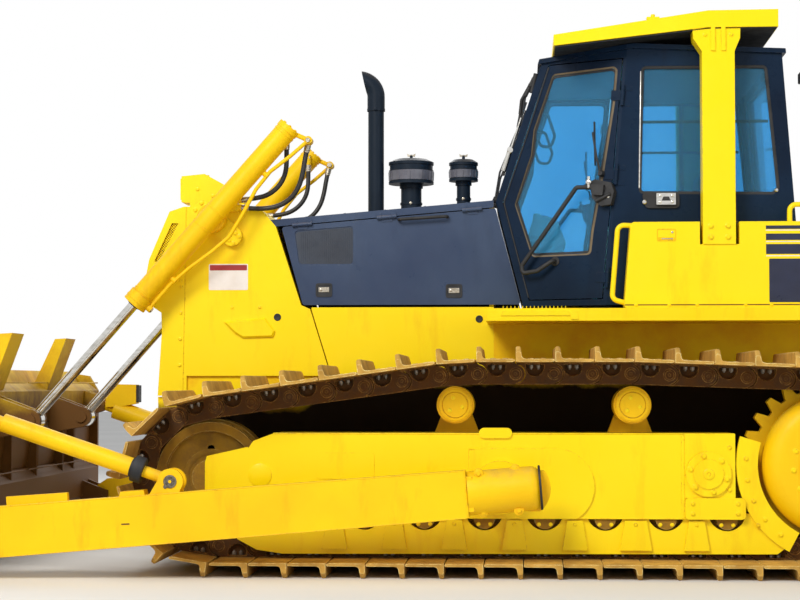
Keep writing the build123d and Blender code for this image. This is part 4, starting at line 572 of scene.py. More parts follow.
def link_parts():
    """Link plates, pins and nuts of one pitch, along, across and outwards."""
    half = PITCH / 2
    outline = (
        [(-97, -57), (97, -57)] + arc(half, 0, 49, -72, 72, 10) + [(97, 59), (-97, 59)]
        + arc(-half, 0, 53, 82, -82, 9)
    )
    pocket = [(-49, 50), (49, 50)] + arc(0, 37, 49, 0, -180, 12)[1:-1]
    parts = Shape()
    flat = Matrix(((1, 0, 0, 0), (0, 0, -1, 0), (0, 1, 0, 0), (0, 0, 0, 1)))
    for holes, thick, bevel, ys in (([pocket], 28, 1.6, [LINK_OUT_Y - 14]),
                                    ([], 17, 0.5, [LINK_OUT_Y - 36.5, TRACK_Y - 111, TRACK_Y - 84])):
        points, faces = stamped([outline] + holes, thick, bevel)
        for y in ys:
            parts.add(points, faces, Matrix.Translation((0, y, 0)) @ flat)
    for side in (1, -1):
        parts.lathe((half, TRACK_Y + side * 60, 0), (0, side, 0),
                    [(0, 31), (61, 31), (62.5, 29), (62.5, 23), (60.5, 21.5), (60.5, 8), (58, 6.5), (58, 0)], 20)
    parts.rod((half, TRACK_Y - 70, 0), (half, TRACK_Y + 70, 0), 33, 14)
    nuts = Shape()
    for t in (-19, 19):
        nuts.lathe((t, LINK_OUT_Y - 13, 47), (0, 0, -1),
                   [(0, 12), (15, 12), (18, 9.5), (18, 6), (24, 6), (24, 0)], 6)
    return parts, nuts


def shoe_parts():
    """Shoe plate with a worn grouser, its corners clipped, and its four bolts."""
    half = (PITCH - SHOE_GAP) / 2
    plate = [(-half, 60.5), (half - 16, 60), (half - 3, 63), (half, 69), (half - 3, 74.5), (half - 24, 75.5),
             (-half + 52, 75.5), (-half + 38, 79), (-half + 31, 88)]
    stations = []
    for y, tip, draw in ((-SHOE_HALF, 112, 3), (-SHOE_HALF + 26, 137, 0), (-SHOE_HALF + 34, 139.5, 0),
                         (SHOE_HALF - 34, 139.5, 0), (SHOE_HALF - 26, 137, 0), (SHOE_HALF, 112, 3)):
        top = [(-half + 25 + draw, tip - 6), (-half + 20, tip), (-half + 5, tip), (-half, tip - 5)]
        stations.append([(t, TRACK_Y + y, n) for t, n in plate + top])
    bolts = Shape()
    for y in (-97, 97):
        for t in (-19, 46):
            bolts.lathe((t, TRACK_Y + y, 75), UP, [(0, 15), (7, 15), (9, 13), (9, 0)], 6)
    return Shape().rings(stations), bolts


def tracks():
    places = shoe_places("track_left")
    links, nuts = link_parts()
    shoe, bolts = shoe_parts()
    for name, template, look in (("chain", links, "link"), ("nuts", nuts, "edge"), ("shoes", shoe, "shoe"),
                                 ("shoe_bolts", bolts, "shoe")):
        whole = Shape()
        for place in places:
            whole.add(template.points, template.faces, place)
        for side, shape in (("left", whole), ("right", whole.other_side())):
            piece = shape.make(f"track_{name}_{side}", look, smooth=40)
            if name in ("chain", "shoes"):
                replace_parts(piece, f"track_{side}")


# ---------------------------------------------------------------- undercarriage
SPROCKET_X, SPROCKET_Z = -2160.0, 580.6
PIVOT_X, PIVOT_Z = -1502.0, 533.0
IDLER_X, IDLER_Z = 1138.3, 506.0
CARRIER_XS, CARRIER_Z = (-176, -1113), 892
ROLLER_XS = [622.0 - 2222.0 / 7 * i for i in range(8)]
ROLLER_Z = 295.0
FRAME_Y = 1219


def undercarriage():
    bolts = Shape()
    bolts.ring_of_bolts((PIVOT_X, 1246, PIVOT_Z), OUT, 97, 6, 12, first=30)
    bolts.ring_of_bolts((SPROCKET_X, 1290, SPROCKET_Z), OUT, 226, 14, 11)
    bolts.ring_of_bolts((SPROCKET_X, 1320, SPROCKET_Z), OUT, 150, 8, 9)
    for x in CARRIER_XS:
        bolts.ring_of_bolts((x, 1181, CARRIER_Z), OUT, 40, 3, 8, first=90)
    bolts.bolts(OUT, 7.5, *[(x + shift, 1208, ROLLER_Z - 30) for x in ROLLER_XS for shift in (-31, 31)])
    bolts.bolts(OUT, 8, *[(x - 158, FRAME_Y, 266) for x in ROLLER_XS])
    bolts.bolts(OUT, 9, *[(x, 1238, z) for x in (-1420, -1654) for z in (326, 378)])
    bolts.bolts(OUT, 10, *[(x, 1215, z) for x, z in arc(SPROCKET_X, SPROCKET_Z, 462, -52, 4, 4)])
    bolts.bolts(OUT, 9, *[(-1612, 1228, z) for z in (450, 560, 670)])
    bolts.both("frame_bolts", "yellow")

    plates = Shape()
    plates.lathe((PIVOT_X, 1254, PIVOT_Z), OUT, [(-1, 30), (4, 30), (6, 26), (6, 10), (2, 8), (2, 0)])
    plates.lathe((859, 1220, 520), OUT, [(-1, 62), (5, 62), (7, 58), (7, 0)], 32)
    plates.panel([(560, 500), (560, 640), (250, 640), (250, 500)], FRAME_Y, 5, 22, 4)
    plates.box(-1376, -1362, FRAME_Y, 1226, 300, 738)
    plates.both("frame_covers", "yellow", bevel=1.2)

    welds = Shape()
    welds.weld(4, (-1640, 1221, 742), (-251, 1221, 742), (788, 1221, 742))
    welds.weld(4.5, (-1377, 1221, 300), (-1377, 1221, 740))
    welds.weld(5, (-251, 1222, 300), (-251, 1222, 663), (-711, 1222, 663))
    welds.weld(3.5, (-1640, 1221, 298), (620, 1221, 298))
    welds.both("frame_welds", "yellow")

    rims = Shape()
    for x in CARRIER_XS:
        rims.lathe((x, 1171, CARRIER_Z), OUT, [(-2, 84), (4, 84), (6, 80), (6, 70), (1, 68)], 36)
    rims.both("carrier_rims", "yellow_low")
    face = Shape()
    face.lathe((IDLER_X, 1111, IDLER_Z), OUT, [(-2, 258), (3, 258), (7, 250), (3, 241), (-2, 240)], 48)
    face.lathe((IDLER_X, 1112, IDLER_Z), OUT, [(-3, 150), (2, 150), (6, 144), (6, 120), (-3, 112)], 40)
    face.both("idler_rims", "idler", smooth=50)


# ---------------------------------------------------------------- lift cylinders and hoses
LIFT_Y = 645
LIFT_AXIS = Vector((0.6614, 0, -0.75))
LIFT_BELOW = Vector((-0.75, 0, -0.6614))
LIFT_PIVOT = Vector((1225, LIFT_Y, 1942))
HOSE_D = 0.028
HOSES = {
    "head_hose": [
        (0.802, 0.567, 2.375), (0.800, 0.567, 2.292), (0.804, 0.563, 2.208), (0.834, 0.557, 2.140),
        (0.889, 0.552, 2.088), (0.959, 0.548, 2.061), (1.060, 0.545, 2.052),
    ],
    "gland_hose": [
        (0.676, 0.600, 2.353), (0.692, 0.599, 2.280), (0.704, 0.595, 2.200), (0.726, 0.586, 2.122),
        (0.772, 0.570, 2.056), (0.838, 0.556, 2.016), (0.915, 0.548, 2.001), (0.990, 0.545, 2.001),
        (1.060, 0.545, 2.006),
    ],
}


def spline_path(points):
    """Points along the smooth line that a hose's route is the control of."""
    curve = bpy.data.curves.new("route", "CURVE")
    curve.dimensions = "3D"
    spline = curve.splines.new("NURBS")
    spline.points.add(len(points) - 1)
    for point, place in zip(spline.points, points):
        point.co = (*place, 1)
    spline.order_u = 3
    spline.use_endpoint_u = True
    spline.resolution_u = 10
    return from_curve(curve)[0]


def hose(name, route, side):
    sign = 1 if side == "left" else -1
    path = spline_path([(x, sign * y, z) for x, y, z in route])
    line = [p * 1000 for p in path]
    piece = Shape().pipe(line, HOSE_D * 500, sides=16).make(f"{name}_tube_{side}", "hose", None, smooth=60)
    for a, b, where, body in ((line[0], line[2], "barrel", f"lift_barrel_{side}"),
                              (line[-1], line[-3], "guard", "chassis")):
        axis = (b - a).normalized()
        ferrule = Shape()
        ferrule.lathe(a - axis * 6, axis, [(0, 15), (4, 18.5), (34, 18.5), (36, 17), (46, 17), (48, 15.2)], 18)
        ferrule.lathe(a - axis * 8, axis, [(0, 19), (13, 19), (15, 17)], 6)
        ferrule.make(f"{name}_ferrule_{where}_{side}", "bright", body)
    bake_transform(piece)
    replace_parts(piece, f"{name}_{side}")


def on_barrel(along, below=0, y=LIFT_Y):
    """Point on the left lift barrel's axis, measured from its pivot, or below the axis."""
    p = LIFT_PIVOT + LIFT_AXIS * along + LIFT_BELOW * below
    return Vector((p.x, y, p.z))


def lift_cylinders():
    bands = Shape()
    for along, radius in ((642, 70), (618, 71)):
        bands.lathe(on_barrel(along), LIFT_AXIS,
                    [(0, radius), (2, radius + 1.5), (8, radius + 1.5), (10, radius)], 32, radius - 3)
    for along in (-640, -60, 60, 560):
        bands.lathe(on_barrel(along), LIFT_AXIS, [(0, 62), (1.5, 64.5), (12, 64.5), (13.5, 62)], 32, 58)
    bands.ring_of_bolts(on_barrel(-683), -LIFT_AXIS, 44, 6, 8)
    bands.each("lift_bands", "yellow_low", "lift_barrel")
    wipers = Shape()
    wipers.lathe(on_barrel(649), LIFT_AXIS, [(0, 50), (5, 50), (7, 46), (9, 36), (12, 33), (12, 29.6)], 32)
    wipers.each("rod_wipers", "rubber", "lift_barrel")
    nuts = Shape()
    nuts.lathe(on_barrel(-693, 130, 585), (0, -1, 0), [(0, 17), (10, 17), (12, 15)], 6)
    nuts.lathe(on_barrel(-693, 130, 664), OUT, [(0, 15), (10, 15), (12, 13)], 6)
    nuts.lathe((802, 560, 2422), (0, -1, 0), [(0, 15), (8, 15), (10, 13)], 6)
    nuts.lathe(on_barrel(612, 92), LIFT_BELOW, [(0, 15), (9, 15)], 6)
    nuts.each("tube_nuts", "bright", "lift_barrel", smooth=30)
    mount = Shape()
    mount.bolts(OUT, 10, *[on_barrel(along, below, 537) for below in (-112, -84, 150, 178) for along in (-26, 26)])
    mount.bolts(OUT, 6, *[(x, 566, z) for x, z in ((1094, 1996), (1136, 1996), (1094, 2064), (1136, 2064))])
    mount.both("lift_mount_bolts", "yellow")
    for name, route in HOSES.items():
        for side in ("left", "right"):
            hose(name, route, side)


# ---------------------------------------------------------------- radiator guard, lamps and hood
GUARD_Y, HULL_Y = 500, 480      # the side faces of the guard and of the hull
SCREEN = [(1472, 1929), (1422, 1929), (1540, 1697), (1577, 1701)]
SCREEN_BACK_Y, BAR_Y, BAR_PITCH, BAR_R = 480.5, 486, 15, 2.6


def span_inside(a, b, ring, margin):
    """Where a line enters and leaves an outline drawn in by a margin, as shares of its length."""
    t0, t1 = 0.0, 1.0
    for p, q in zip(ring, ring[1:] + ring[:1]):
        nx, nz = p[1] - q[1], q[0] - p[0]
        size = math.hypot(nx, nz)
        gap = ((a[0] - p[0]) * nx + (a[1] - p[1]) * nz) / size - margin
        rate = ((b[0] - a[0]) * nx + (b[1] - a[1]) * nz) / size
        if rate > 0:
            t0 = max(t0, -gap / rate)
        else:
            t1 = min(t1, -gap / rate)
    return (t0, t1) if t1 - t0 > 0.01 else ()


def mesh_screen():
    """Punched screen in the guard's side recess."""
    Shape().side_plate(SCREEN, SCREEN_BACK_Y, SCREEN_BACK_Y + 1.5).both("screen_back", "dark")
    bars = Shape()
    for slope in (1, -1):
        for k in range(-30, 60):
            x, run = 1422 + k * BAR_PITCH - slope * 300, slope * 600
            ends = [(x + run * t, BAR_Y + slope, 1597 + 600 * t)
                    for t in span_inside((x, 1597), (x + run, 2197), SCREEN, 4)]
            if ends:
                bars.rod(*ends, BAR_R, 6, 0.3)
    bars.both("screen_bars", "yellow")
    line = rounded([(x, 498, z) for x, z in SCREEN], 8, 3, closed=True)
    Shape().sweep(line, [(3.5, -5), (3.5, 5), (-4, 5), (-4, -5)], closed=True).both("screen_rim", "yellow")


def guard_fittings():
    bolts = Shape()
    bolts.bolts(OUT, 7, *[(x, GUARD_Y, z) for x, z in ((1461, 1639), (1415, 1593))])
    bolts.bolts(OUT, 8, *[(1424 - (z - 930) * 0.02, GUARD_Y, z) for z in range(960, 1880, 150)])
    bolts.bolts(OUT, 7, (960, GUARD_Y, 1440), (1120, GUARD_Y, 1440))
    bolts.both("guard_bolts", "yellow")
    Shape().panel([(1254, 1689), (1254, 1540), (1029, 1540), (1029, 1689)], 499.5, 2, 8, 4).both(
        "blank_plates", "plate")
    Shape().panel([(1248, 1683), (1248, 1652), (1035, 1652), (1035, 1683)], 501, 1.2, 4).both(
        "plate_headers", "signal_red")
    plugs = Shape()
    for x, y, z in ((859, GUARD_Y, 1384), (-290, HULL_Y, 1372)):
        plugs.lathe((x, y - 1, z), OUT, [(0, 21), (3, 21), (5, 17), (3, 12), (3, 0)])
    plugs.both("rubber_plugs", "rubber")
    lenses, teeth, rims = Shape(), Shape(), Shape()
    for y in (280, -280):
        lenses.rings([
            [(1424 + bow, y + a * grow, 2132 + b * grow) for a, b in ((-82, -50), (82, -50), (82, 50), (-82, 50))]
            for bow, grow in ((-6, 1), (0, 1), (4, 0.9), (6, 0.5))
        ])
        for z in (2092, 2119, 2146, 2173):
            teeth.box(1432, 1442, y - 92, y + 92, z - 3.5, z + 3.5)
        for edge in (-98, 98):
            teeth.box(1425, 1441, y + edge - 7, y + edge + 7, 2070, 2194)
        rims.lathe((1300, y, 2215), UP, [(-6, 12), (6, 12), (8, 10)], 6)
        for side in (-1, 1):
            rims.bolts((0, side, 0), 9, (1250, y + side * 110, 2090), (1340, y + side * 110, 2130))
    lenses.make("lamp_lenses", "lens", bevel=1)
    teeth.make("lamp_guards", "yellow", bevel=1)
    rims.make("lamp_bolts", "yellow")


def hood_edge(x):
    """Height of the hood's outer edge, which falls towards the front."""
    return 2047 - (x + 372) * 101 / 1224


def hood_fittings():
    latches, plates = Shape(), Shape()
    for x, z in ((595, 1539), (-147, 1532)):
        ring = rounded([(x + 42, 481, z + 34), (x + 42, 481, z - 34), (x - 42, 481, z - 34), (x - 42, 481, z + 34)],
                       8, 3, closed=True)
        plates.sweep(ring, [(4, -5), (4, 5), (-4, 5), (-4, -5)], closed=True)
        plates.prism([p - Vector((0, 1.5, 0)) for p in ring], (0, 2, 0))
        latches.box(x - 30, x + 30, 480, 487, z - 12, z + 16)
        latches.lathe((x + 18, 486, z + 2), OUT, [(0, 8), (3, 8), (4, 6)], 16)
    latches.each("door_latches", "bright", "engine_door", bevel=1)
    plates.each("latch_plates", "dark", "engine_door")
    bolts = Shape()
    for x in (700, 480, 250, 20, -220):
        bolts.bolts((0.08, 0.1, 1), 7, (x, 440, hood_edge(x) - 1))
        bolts.bolts((0.08, 0, 1), 7, (x, 160, hood_edge(x) + 11))
    bolts.both("hood_bolts", "hood")


# ---------------------------------------------------------------- cab
CAB_CENTRE = Vector((-1300.0, 0.0, 2300.0))
LEAST_PANE = 0.03           # square metres of glass
BORDER_IN = 17              # from a door pane's edge to the middle of its printed border
HINGE_FOOT, HINGE_HEAD, KNEE = Vector((-995, 740, 1440)), Vector((-1117, 740, 2852)), Vector((-385, 452, 2040))
DOOR_OUT = (HINGE_HEAD - HINGE_FOOT).cross(KNEE - HINGE_FOOT).normalized()


def on_door(x, z, height=0.0):
    """Point on the left door's outer plane, raised by a height."""
    away = HINGE_FOOT - Vector((x, 0, z))
    return Vector((x, DOOR_OUT.dot(away) / DOOR_OUT.y, z)) + DOOR_OUT * height


def pane_loops(node):
    """Edge loop of each pane's outer face and the direction it faces."""
    mesh = NODES[node].data
    planes = {}
    for polygon in mesh.polygons:
        n = polygon.normal
        at = n.dot(polygon.center) * 1000
        key = (round(n.x, 1), round(n.y, 1), round(n.z, 1), round(at / 3))
        planes.setdefault(key, []).append(polygon)
    loops = []
    for polygons in planes.values():
        normal = polygons[0].normal.copy()
        inner = normal.dot(polygons[0].center * 1000 - CAB_CENTRE) < 0
        if inner or sum(p.area for p in polygons) < LEAST_PANE:
            continue
        after = dict(open_edges(polygons, lambda i: tuple(round(c * 10000) for c in mesh.vertices[i].co)))
        while after:
            start, point = next(iter(after.items()))
            ring = [start]
            del after[start]
            while point != start and point in after:
                ring.append(point)
                point = after.pop(point)
            if len(ring) > 3:
                loops.append(([Vector(p) / 10 for p in ring], normal))
    return loops


def thinned(ring, gap):
    """The ring without points closer to the last one than a gap."""
    out = [ring[0]]
    for p in ring[1:]:
        if (p - out[-1]).length > gap:
            out.append(p)
    return out


def seal_panes(node, name, look, body, half):
    """Rubber lip, twice as wide as its half, on the edge of each pane."""
    lip = [(-1, -half), (9, -half), (12, 4 - half), (12, half - 4), (9, half), (-1, half)]
    seal = Shape()
    for ring, normal in pane_loops(node):
        seal.sweep(thinned(ring, 4), lip, closed=True, up=normal)
    seal.make(name, look, body, smooth=50)


def seals():
    seal_panes("cab_windows", "window_seals", "rubber", "chassis", 16)
    for side in ("left", "right"):
        node, body = f"cab_door_glass_{side}", f"cab_door_{side}"
        seal_panes(node, f"door_glass_seal_{side}", "seal", body, 9)
        border = Shape()
        for ring, normal in pane_loops(node):
            ring = thinned(ring, 14)
            centre = sum(ring, Vector()) / len(ring)
            ring = [p + (centre - p).normalized() * BORDER_IN + normal * 0.5 for p in ring]
            border.sweep(ring, [(-1, -6), (3, -6), (3, 6), (-1, 6)], closed=True, up=normal)
        border.make(f"door_glass_border_{side}", "dark", body, smooth=50)


def door_fittings():
    """What is on the door's outside: catch, wiper, grab rail and edge seal."""
    block, silver, wiper = Shape(), Shape(), Shape()
    outline = [(-922, 2122), (-958, 2134), (-1042, 2112), (-1058, 2062), (-1040, 1990), (-985, 1984), (-940, 2030)]
    block.prism([on_door(x, z, 4) for x, z in outline], DOOR_OUT * 44)
    block.prism([on_door(x, z, 40) for x, z in [(-935, 2108), (-1010, 2098), (-1002, 2040), (-950, 2046)]],
                DOOR_OUT * 30)
    for a, b, r in (((-900, 2095), (-1010, 2075), 13), ((-960, 2010), (-1040, 2050), 10)):
        block.rod(on_door(*a, 56), on_door(*b, 50), r, 14)
    block.each("door_catch", "rubber", "cab_door", bevel=4)
    silver.lathe(on_door(-926, 2118, 44), DOOR_OUT, [(0, 16), (22, 16), (25, 13), (30, 13), (32, 9), (32, 0)], 20)
    silver.rod(on_door(-926, 2085, 60), on_door(-926, 2150, 60), 9, 14)
    silver.ring_of_bolts(on_door(-1012, 2050, 48), DOOR_OUT, 22, 2, 6)
    silver.each("door_catch_pin", "chrome", "cab_door")
    wiper.pipe([on_door(-978, 2170, 30), on_door(-965, 2250, 44), on_door(-938, 2400, 30)], 6, 40)
    low, high = on_door(-948, 2215, 14), on_door(-944, 2460, 14)
    wiper.sweep([low, low.lerp(high, 0.5) + DOOR_OUT * 2, high],
                [(-6, -2), (10, -4), (14, 0), (10, 4), (-6, 2)], up=DOOR_OUT)
    wiper.lathe(on_door(-978, 2170, -2), DOOR_OUT, [(0, 18), (20, 18), (26, 14), (36, 12), (36, 0)], 18)
    wiper.each("door_wiper", "rubber", "cab_door")
    feet, sleeve, edge = Shape(), Shape(), Shape()
    for x, z in ((-998, 2088), (-718, 1690)):
        feet.lathe(on_door(x, z, -1), DOOR_OUT, [(0, 26), (5, 26), (8, 22), (8, 11)], 20)
    feet.each("door_rail_feet", "rubber", "cab_door")
    route = [(-998, 2088, 2), (-998, 2088, 44), (-860, 2092, 62), (-556, 1665, 62), (-560, 1622, 62),
             (-640, 1632, 62), (-718, 1690, 40), (-718, 1690, 2)]
    sleeve.pipe([on_door(*p) for p in route], 12.5, 22)
    sleeve.each("door_rail_sleeve", "rubber", "cab_door", smooth=50)
    line = [on_door(*p, 2) for p in ((-570, 1490), (-432, 2035), (-560, 2400), (-688, 2790))]
    edge.sweep(rounded(line, 60), [(-2, -4), (4, -3), (4, 3), (-2, 4)], up=DOOR_OUT)
    edge.each("door_edge_seal", "rubber", "cab_door")


def cab_fittings():
    silver, black = Shape(), Shape()
    silver.rod((-1180, 737, 2085), (-1192, 737, 2735), 5, 10)
    black.box(-1890, -1196, 716, 723, 2446, 2462)
    black.box(-1548, -1520, 715, 722, 2055, 2762)
    black.panel([(-1190, 2062), (-1400, 2058), (-1400, 1972), (-1215, 1972)], 739, 16, 26, 4)
    black.side_plate([(-1300, 2012), (-1350, 2012), (-1340, 2034), (-1310, 2034)], 775, 782)
    silver.box(-1378, -1272, 752, 776, 1990, 2054)
    silver.lathe((-1208, 752, 2006), OUT, [(0, 12), (6, 12), (9, 8), (9, 0)], 16)
    for x in (-1292, -1358):
        for z in (2004, 2040):
            silver.lathe((x, 774, z), OUT, [(0, 8), (5, 8), (7, 5)], 16)
    silver.lathe((-1930, 741, 2070), OUT, [(0, 11), (8, 11), (12, 7)], 16)
    silver.both("cab_bright_trim", "chrome", bevel=1.5)
    black.both("cab_black_trim", "rubber", bevel=1.5)

    front, shine = Shape(), Shape()
    for side in (1, -1):
        def on_front(z, out, side=side):
            """Point on the front post, moved forward."""
            share = (z - 2040) / 792
            return Vector((-385 - 267 * share + out, side * (452 + 20 * share), z))
        for a, b, r in (((2660, 4), (2770, 14), 15), ((2640, 34), (2745, 20), 11), ((2700, 0), (2700, 36), 14)):
            front.rod(on_front(*a), on_front(*b), r)
        front.pipe([on_front(2765, 16), on_front(2620, 48), on_front(2540, 30)], 9, 30)
        front.prism([on_front(*p) for p in ((2650, 30), (2600, 46), (2470, 26), (2480, 8), (2590, 22))],
                    (0, -side * 120, 0))
        front.prism([on_front(*p) for p in ((2350, 2), (2350, 20), (2190, 20), (2190, 2))], (0, -side * 16, 0))
        shine.rod(on_front(2520, 16), on_front(2350, 14), 7)
        shine.rod(on_front(2330, 18), on_front(2215, 16), 15)
        shine.lathe(on_front(2335, 16), (0, side, 0), [(-12, 19), (12, 19), (15, 15)], 18)
    front.make("mirror_brackets", "rubber", bevel=2)
    shine.make("front_handles", "chrome")

    wipers = Shape()
    for y, tip_y in ((-150, -280), (170, 66)):
        foot, tip = Vector((-377, y, 2075)), Vector((-510, tip_y, 2480))
        wipers.pipe([foot, foot.lerp(tip, 0.4) + Vector((26, 0, 6)), tip + Vector((12, 0, 0))], 6, 60)
        wipers.sweep([tip + Vector((60, 30, -170)), tip + Vector((8, 0, 0)), tip + Vector((-52, -30, 190))],
                     [(-5, -3), (8, -3), (8, 3), (-5, 3)], up=(0.95, 0, 0.3))
        wipers.lathe(foot - Vector((12, 0, 0)), (0.9, 0, 0.4), [(0, 20), (20, 20), (26, 14), (26, 0)], 18)
    wipers.make("screen_wipers", "rubber")


def interior():
    """Seat with sewn cushions, dash and side consoles with their levers, and the linings."""
    shell = Shape()
    shell.side_plate([(-1490, 1486), (-1190, 1486), (-1230, 1560), (-1210, 1690), (-1500, 1690), (-1460, 1560)],
                     -170, 170)
    shell.side_plate([(-1600, 1700), (-1100, 1700), (-1090, 1722), (-1590, 1722)], -240, 240)
    shell.side_plate([(-1614, 1750), (-1594, 1750), (-1662, 2310), (-1680, 2310)], -225, 225)
    for side in (1, -1):
        shell.rod((-1560, side * 236, 1960), (-1250, side * 236, 1950), 24, 14, 8)
        shell.rod((-1580, side * 232, 1930), (-1570, side * 236, 1975), 16, 12)
    for piece in (
        shell.make("seat_shell", "dark", bevel=5),
        pad("seat_cushion", (-1335, 0, 1778), (486, 476, 92), channels=(-90, 90)),
        pad("seat_back_cushion", (-1574, 0, 2020), (82, 440, 500), lean=-7.0, channels=(-100, 100)),
        pad("seat_headrest", (-1628, 0, 2368), (76, 250, 96), lean=-7.0),
    ):
        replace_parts(piece, "operator_seat")

    dash, dials, levers, loops = Shape(), Shape(), Shape(), Shape()
    for y0, y1, height in ((-320, -60, 1960), (60, 320, 1960), (-60, 60, 1905)):
        dash.side_plate([(-720, 1486), (-605, 1486), (-565, 1845), (-605, height + 22), (-735, height - 8),
                         (-785, 1815)], y0, y1)
    dash.side_plate([(-640, 1850), (-580, 1850), (-600, 1988), (-650, 1980)], -325, 325)
    for side in (1, -1):
        dash.side_plate([(-1445, 1486), (-955, 1486), (-955, 1840), (-1010, 1896), (-1440, 1880)], side * 325,
                        side * 465)
    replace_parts(dash.make("dash_and_consoles", "pale", bevel=14, segments=3), "consoles")
    for y in (-220, -130, 130, 220):
        dials.lathe((-668, y, 1968), (-0.2, 0, 1), [(0, 36), (6, 36), (8, 32), (4, 30), (4, 0)], 28)
    for y in (-30, 0, 30):
        dials.lathe((-680, y, 1902), (-0.2, 0, 1), [(0, 9), (5, 9), (7, 6)], 14)
    dials.make("dash_dials", "dark")
    for side, x, top in ((1, -1020, 2070), (-1, -1020, 2075), (-1, -1110, 2055)):
        y = side * 395
        levers.lathe((x, y, 1882), UP, [(0, 42), (10, 40), (34, 20), (40, 12)], 20)
        levers.pipe([(x, y, 1900), (x + 6, y, 1990), (x - 14, y, top)], 9, 40)
        levers.lathe((x - 14, y, top - 12), UP, [(0, 14), (10, 22), (42, 26), (58, 20), (66, 0)], 18)
    for y in (-150, 150):
        levers.pipe([(-800, y, 1486), (-770, y, 1600), (-830, y, 1640)], 12, 40)
        levers.box(-862, -822, y - 42, y + 42, 1622, 1640)
    levers.make("cab_levers", "rubber", bevel=1)
    for side in (1, -1):
        ring = [(-622, 2560), (-600, 2470), (-640, 2362), (-700, 2352), (-722, 2420), (-680, 2548)]
        path = rounded([(x, side * (412 + (z - 2040) * 0.03), z) for x, z in ring], 34, closed=True)
        loops.sweep(path, circle(9, 10), closed=True)
    loops.make("cab_grab_loops", "rubber", smooth=60)
    Shape().prism([(-700, -450, 2772), (-700, 450, 2772), (-1120, 690, 2810), (-1120, -690, 2810)],
                  (0, 0, -20)).make("cab_front_lining", "pale", bevel=4)
    lining = Shape().side_plate([(-1120, 2810), (-1880, 2780), (-1880, 2746), (-1120, 2776)], -690, 690)
    lining.box(-1990, -1040, -690, 690, 1483, 1489).make("cab_lining", "dark", bevel=4)


VOXEL, SWELL = 0.009, 0.010     # of a cushion's mesh, and the most a point may move
SEAM_REACH = 14                 # how far to either side a sewn channel draws the cover in
CLOTH_FRAMES = 20


def pad(name, centre, size, lean=0.0, channels=()):
    """Cushion blown up by cloth pressure inside its cover, with sewn channels."""
    bm = bmesh.new()
    bmesh.ops.create_cube(bm, size=1.0)
    bmesh.ops.scale(bm, vec=[s / 1000 - 0.02 for s in size], verts=bm.verts)
    bmesh.ops.bevel(bm, geom=bm.edges[:], offset=min(size) / 1000 * 0.28, segments=3, affect="EDGES")
    mesh = bpy.data.meshes.new(name)
    bm.to_mesh(mesh)
    bm.free()
    piece = placed(name, mesh)
    remesh = piece.modifiers.new("remesh", "REMESH")
    remesh.mode, remesh.voxel_size = "VOXEL", VOXEL
    bake(piece)
    swell(piece)
    smooth = piece.modifiers.new("smooth", "SMOOTH")
    smooth.factor, smooth.iterations = 0.5, 3
    bake(piece)
    turn = Matrix.Rotation(math.radians(lean), 4, "Y")
    for v in piece.data.vertices:
        for channel in channels:
            gap = abs(v.co.y * 1000 - channel)
            if gap < SEAM_REACH:
                v.co *= 1 - 0.03 * (1 - gap / SEAM_REACH)
        v.co = turn @ v.co + Vector(centre) / 1000
    for polygon in piece.data.polygons:
        polygon.use_smooth = True
    settle(piece, "fabric", "chassis")
    return piece


def bake(piece):
    """Applies every modifier on a piece."""
    graph = bpy.context.evaluated_depsgraph_get()
    mesh = bpy.data.meshes.new_from_object(piece.evaluated_get(graph))
    piece.modifiers.clear()
    piece.data = mesh


def swell(piece):
    """Cloth under pressure, stopped where a point has moved by the most it may."""
    scene = bpy.context.scene
    before = [v.co.copy() for v in piece.data.vertices]
    cloth = piece.modifiers.new("cloth", "CLOTH")
    cloth.settings.quality = 5
    cloth.settings.use_pressure = True
    cloth.settings.uniform_pressure_force = 4.0
    cloth.settings.effector_weights.gravity = 0.0
    cloth.point_cache.frame_start, cloth.point_cache.frame_end = 1, CLOTH_FRAMES
    for step in range(1, CLOTH_FRAMES + 1):
        scene.frame_set(step)
    bake(piece)
    scene.frame_set(1)
    for v, start in zip(piece.data.vertices, before):
        move = v.co - start
        if move.length > SWELL:
            v.co = start + move.normalized() * SWELL


# ---------------------------------------------------------------- boxes, roof and fenders
BOX_Y, POST_Y = 895, 905        # the outer faces of the side boxes and of the roll-over posts
TREAD_Z, STEP_Y = 1411.5, 1008


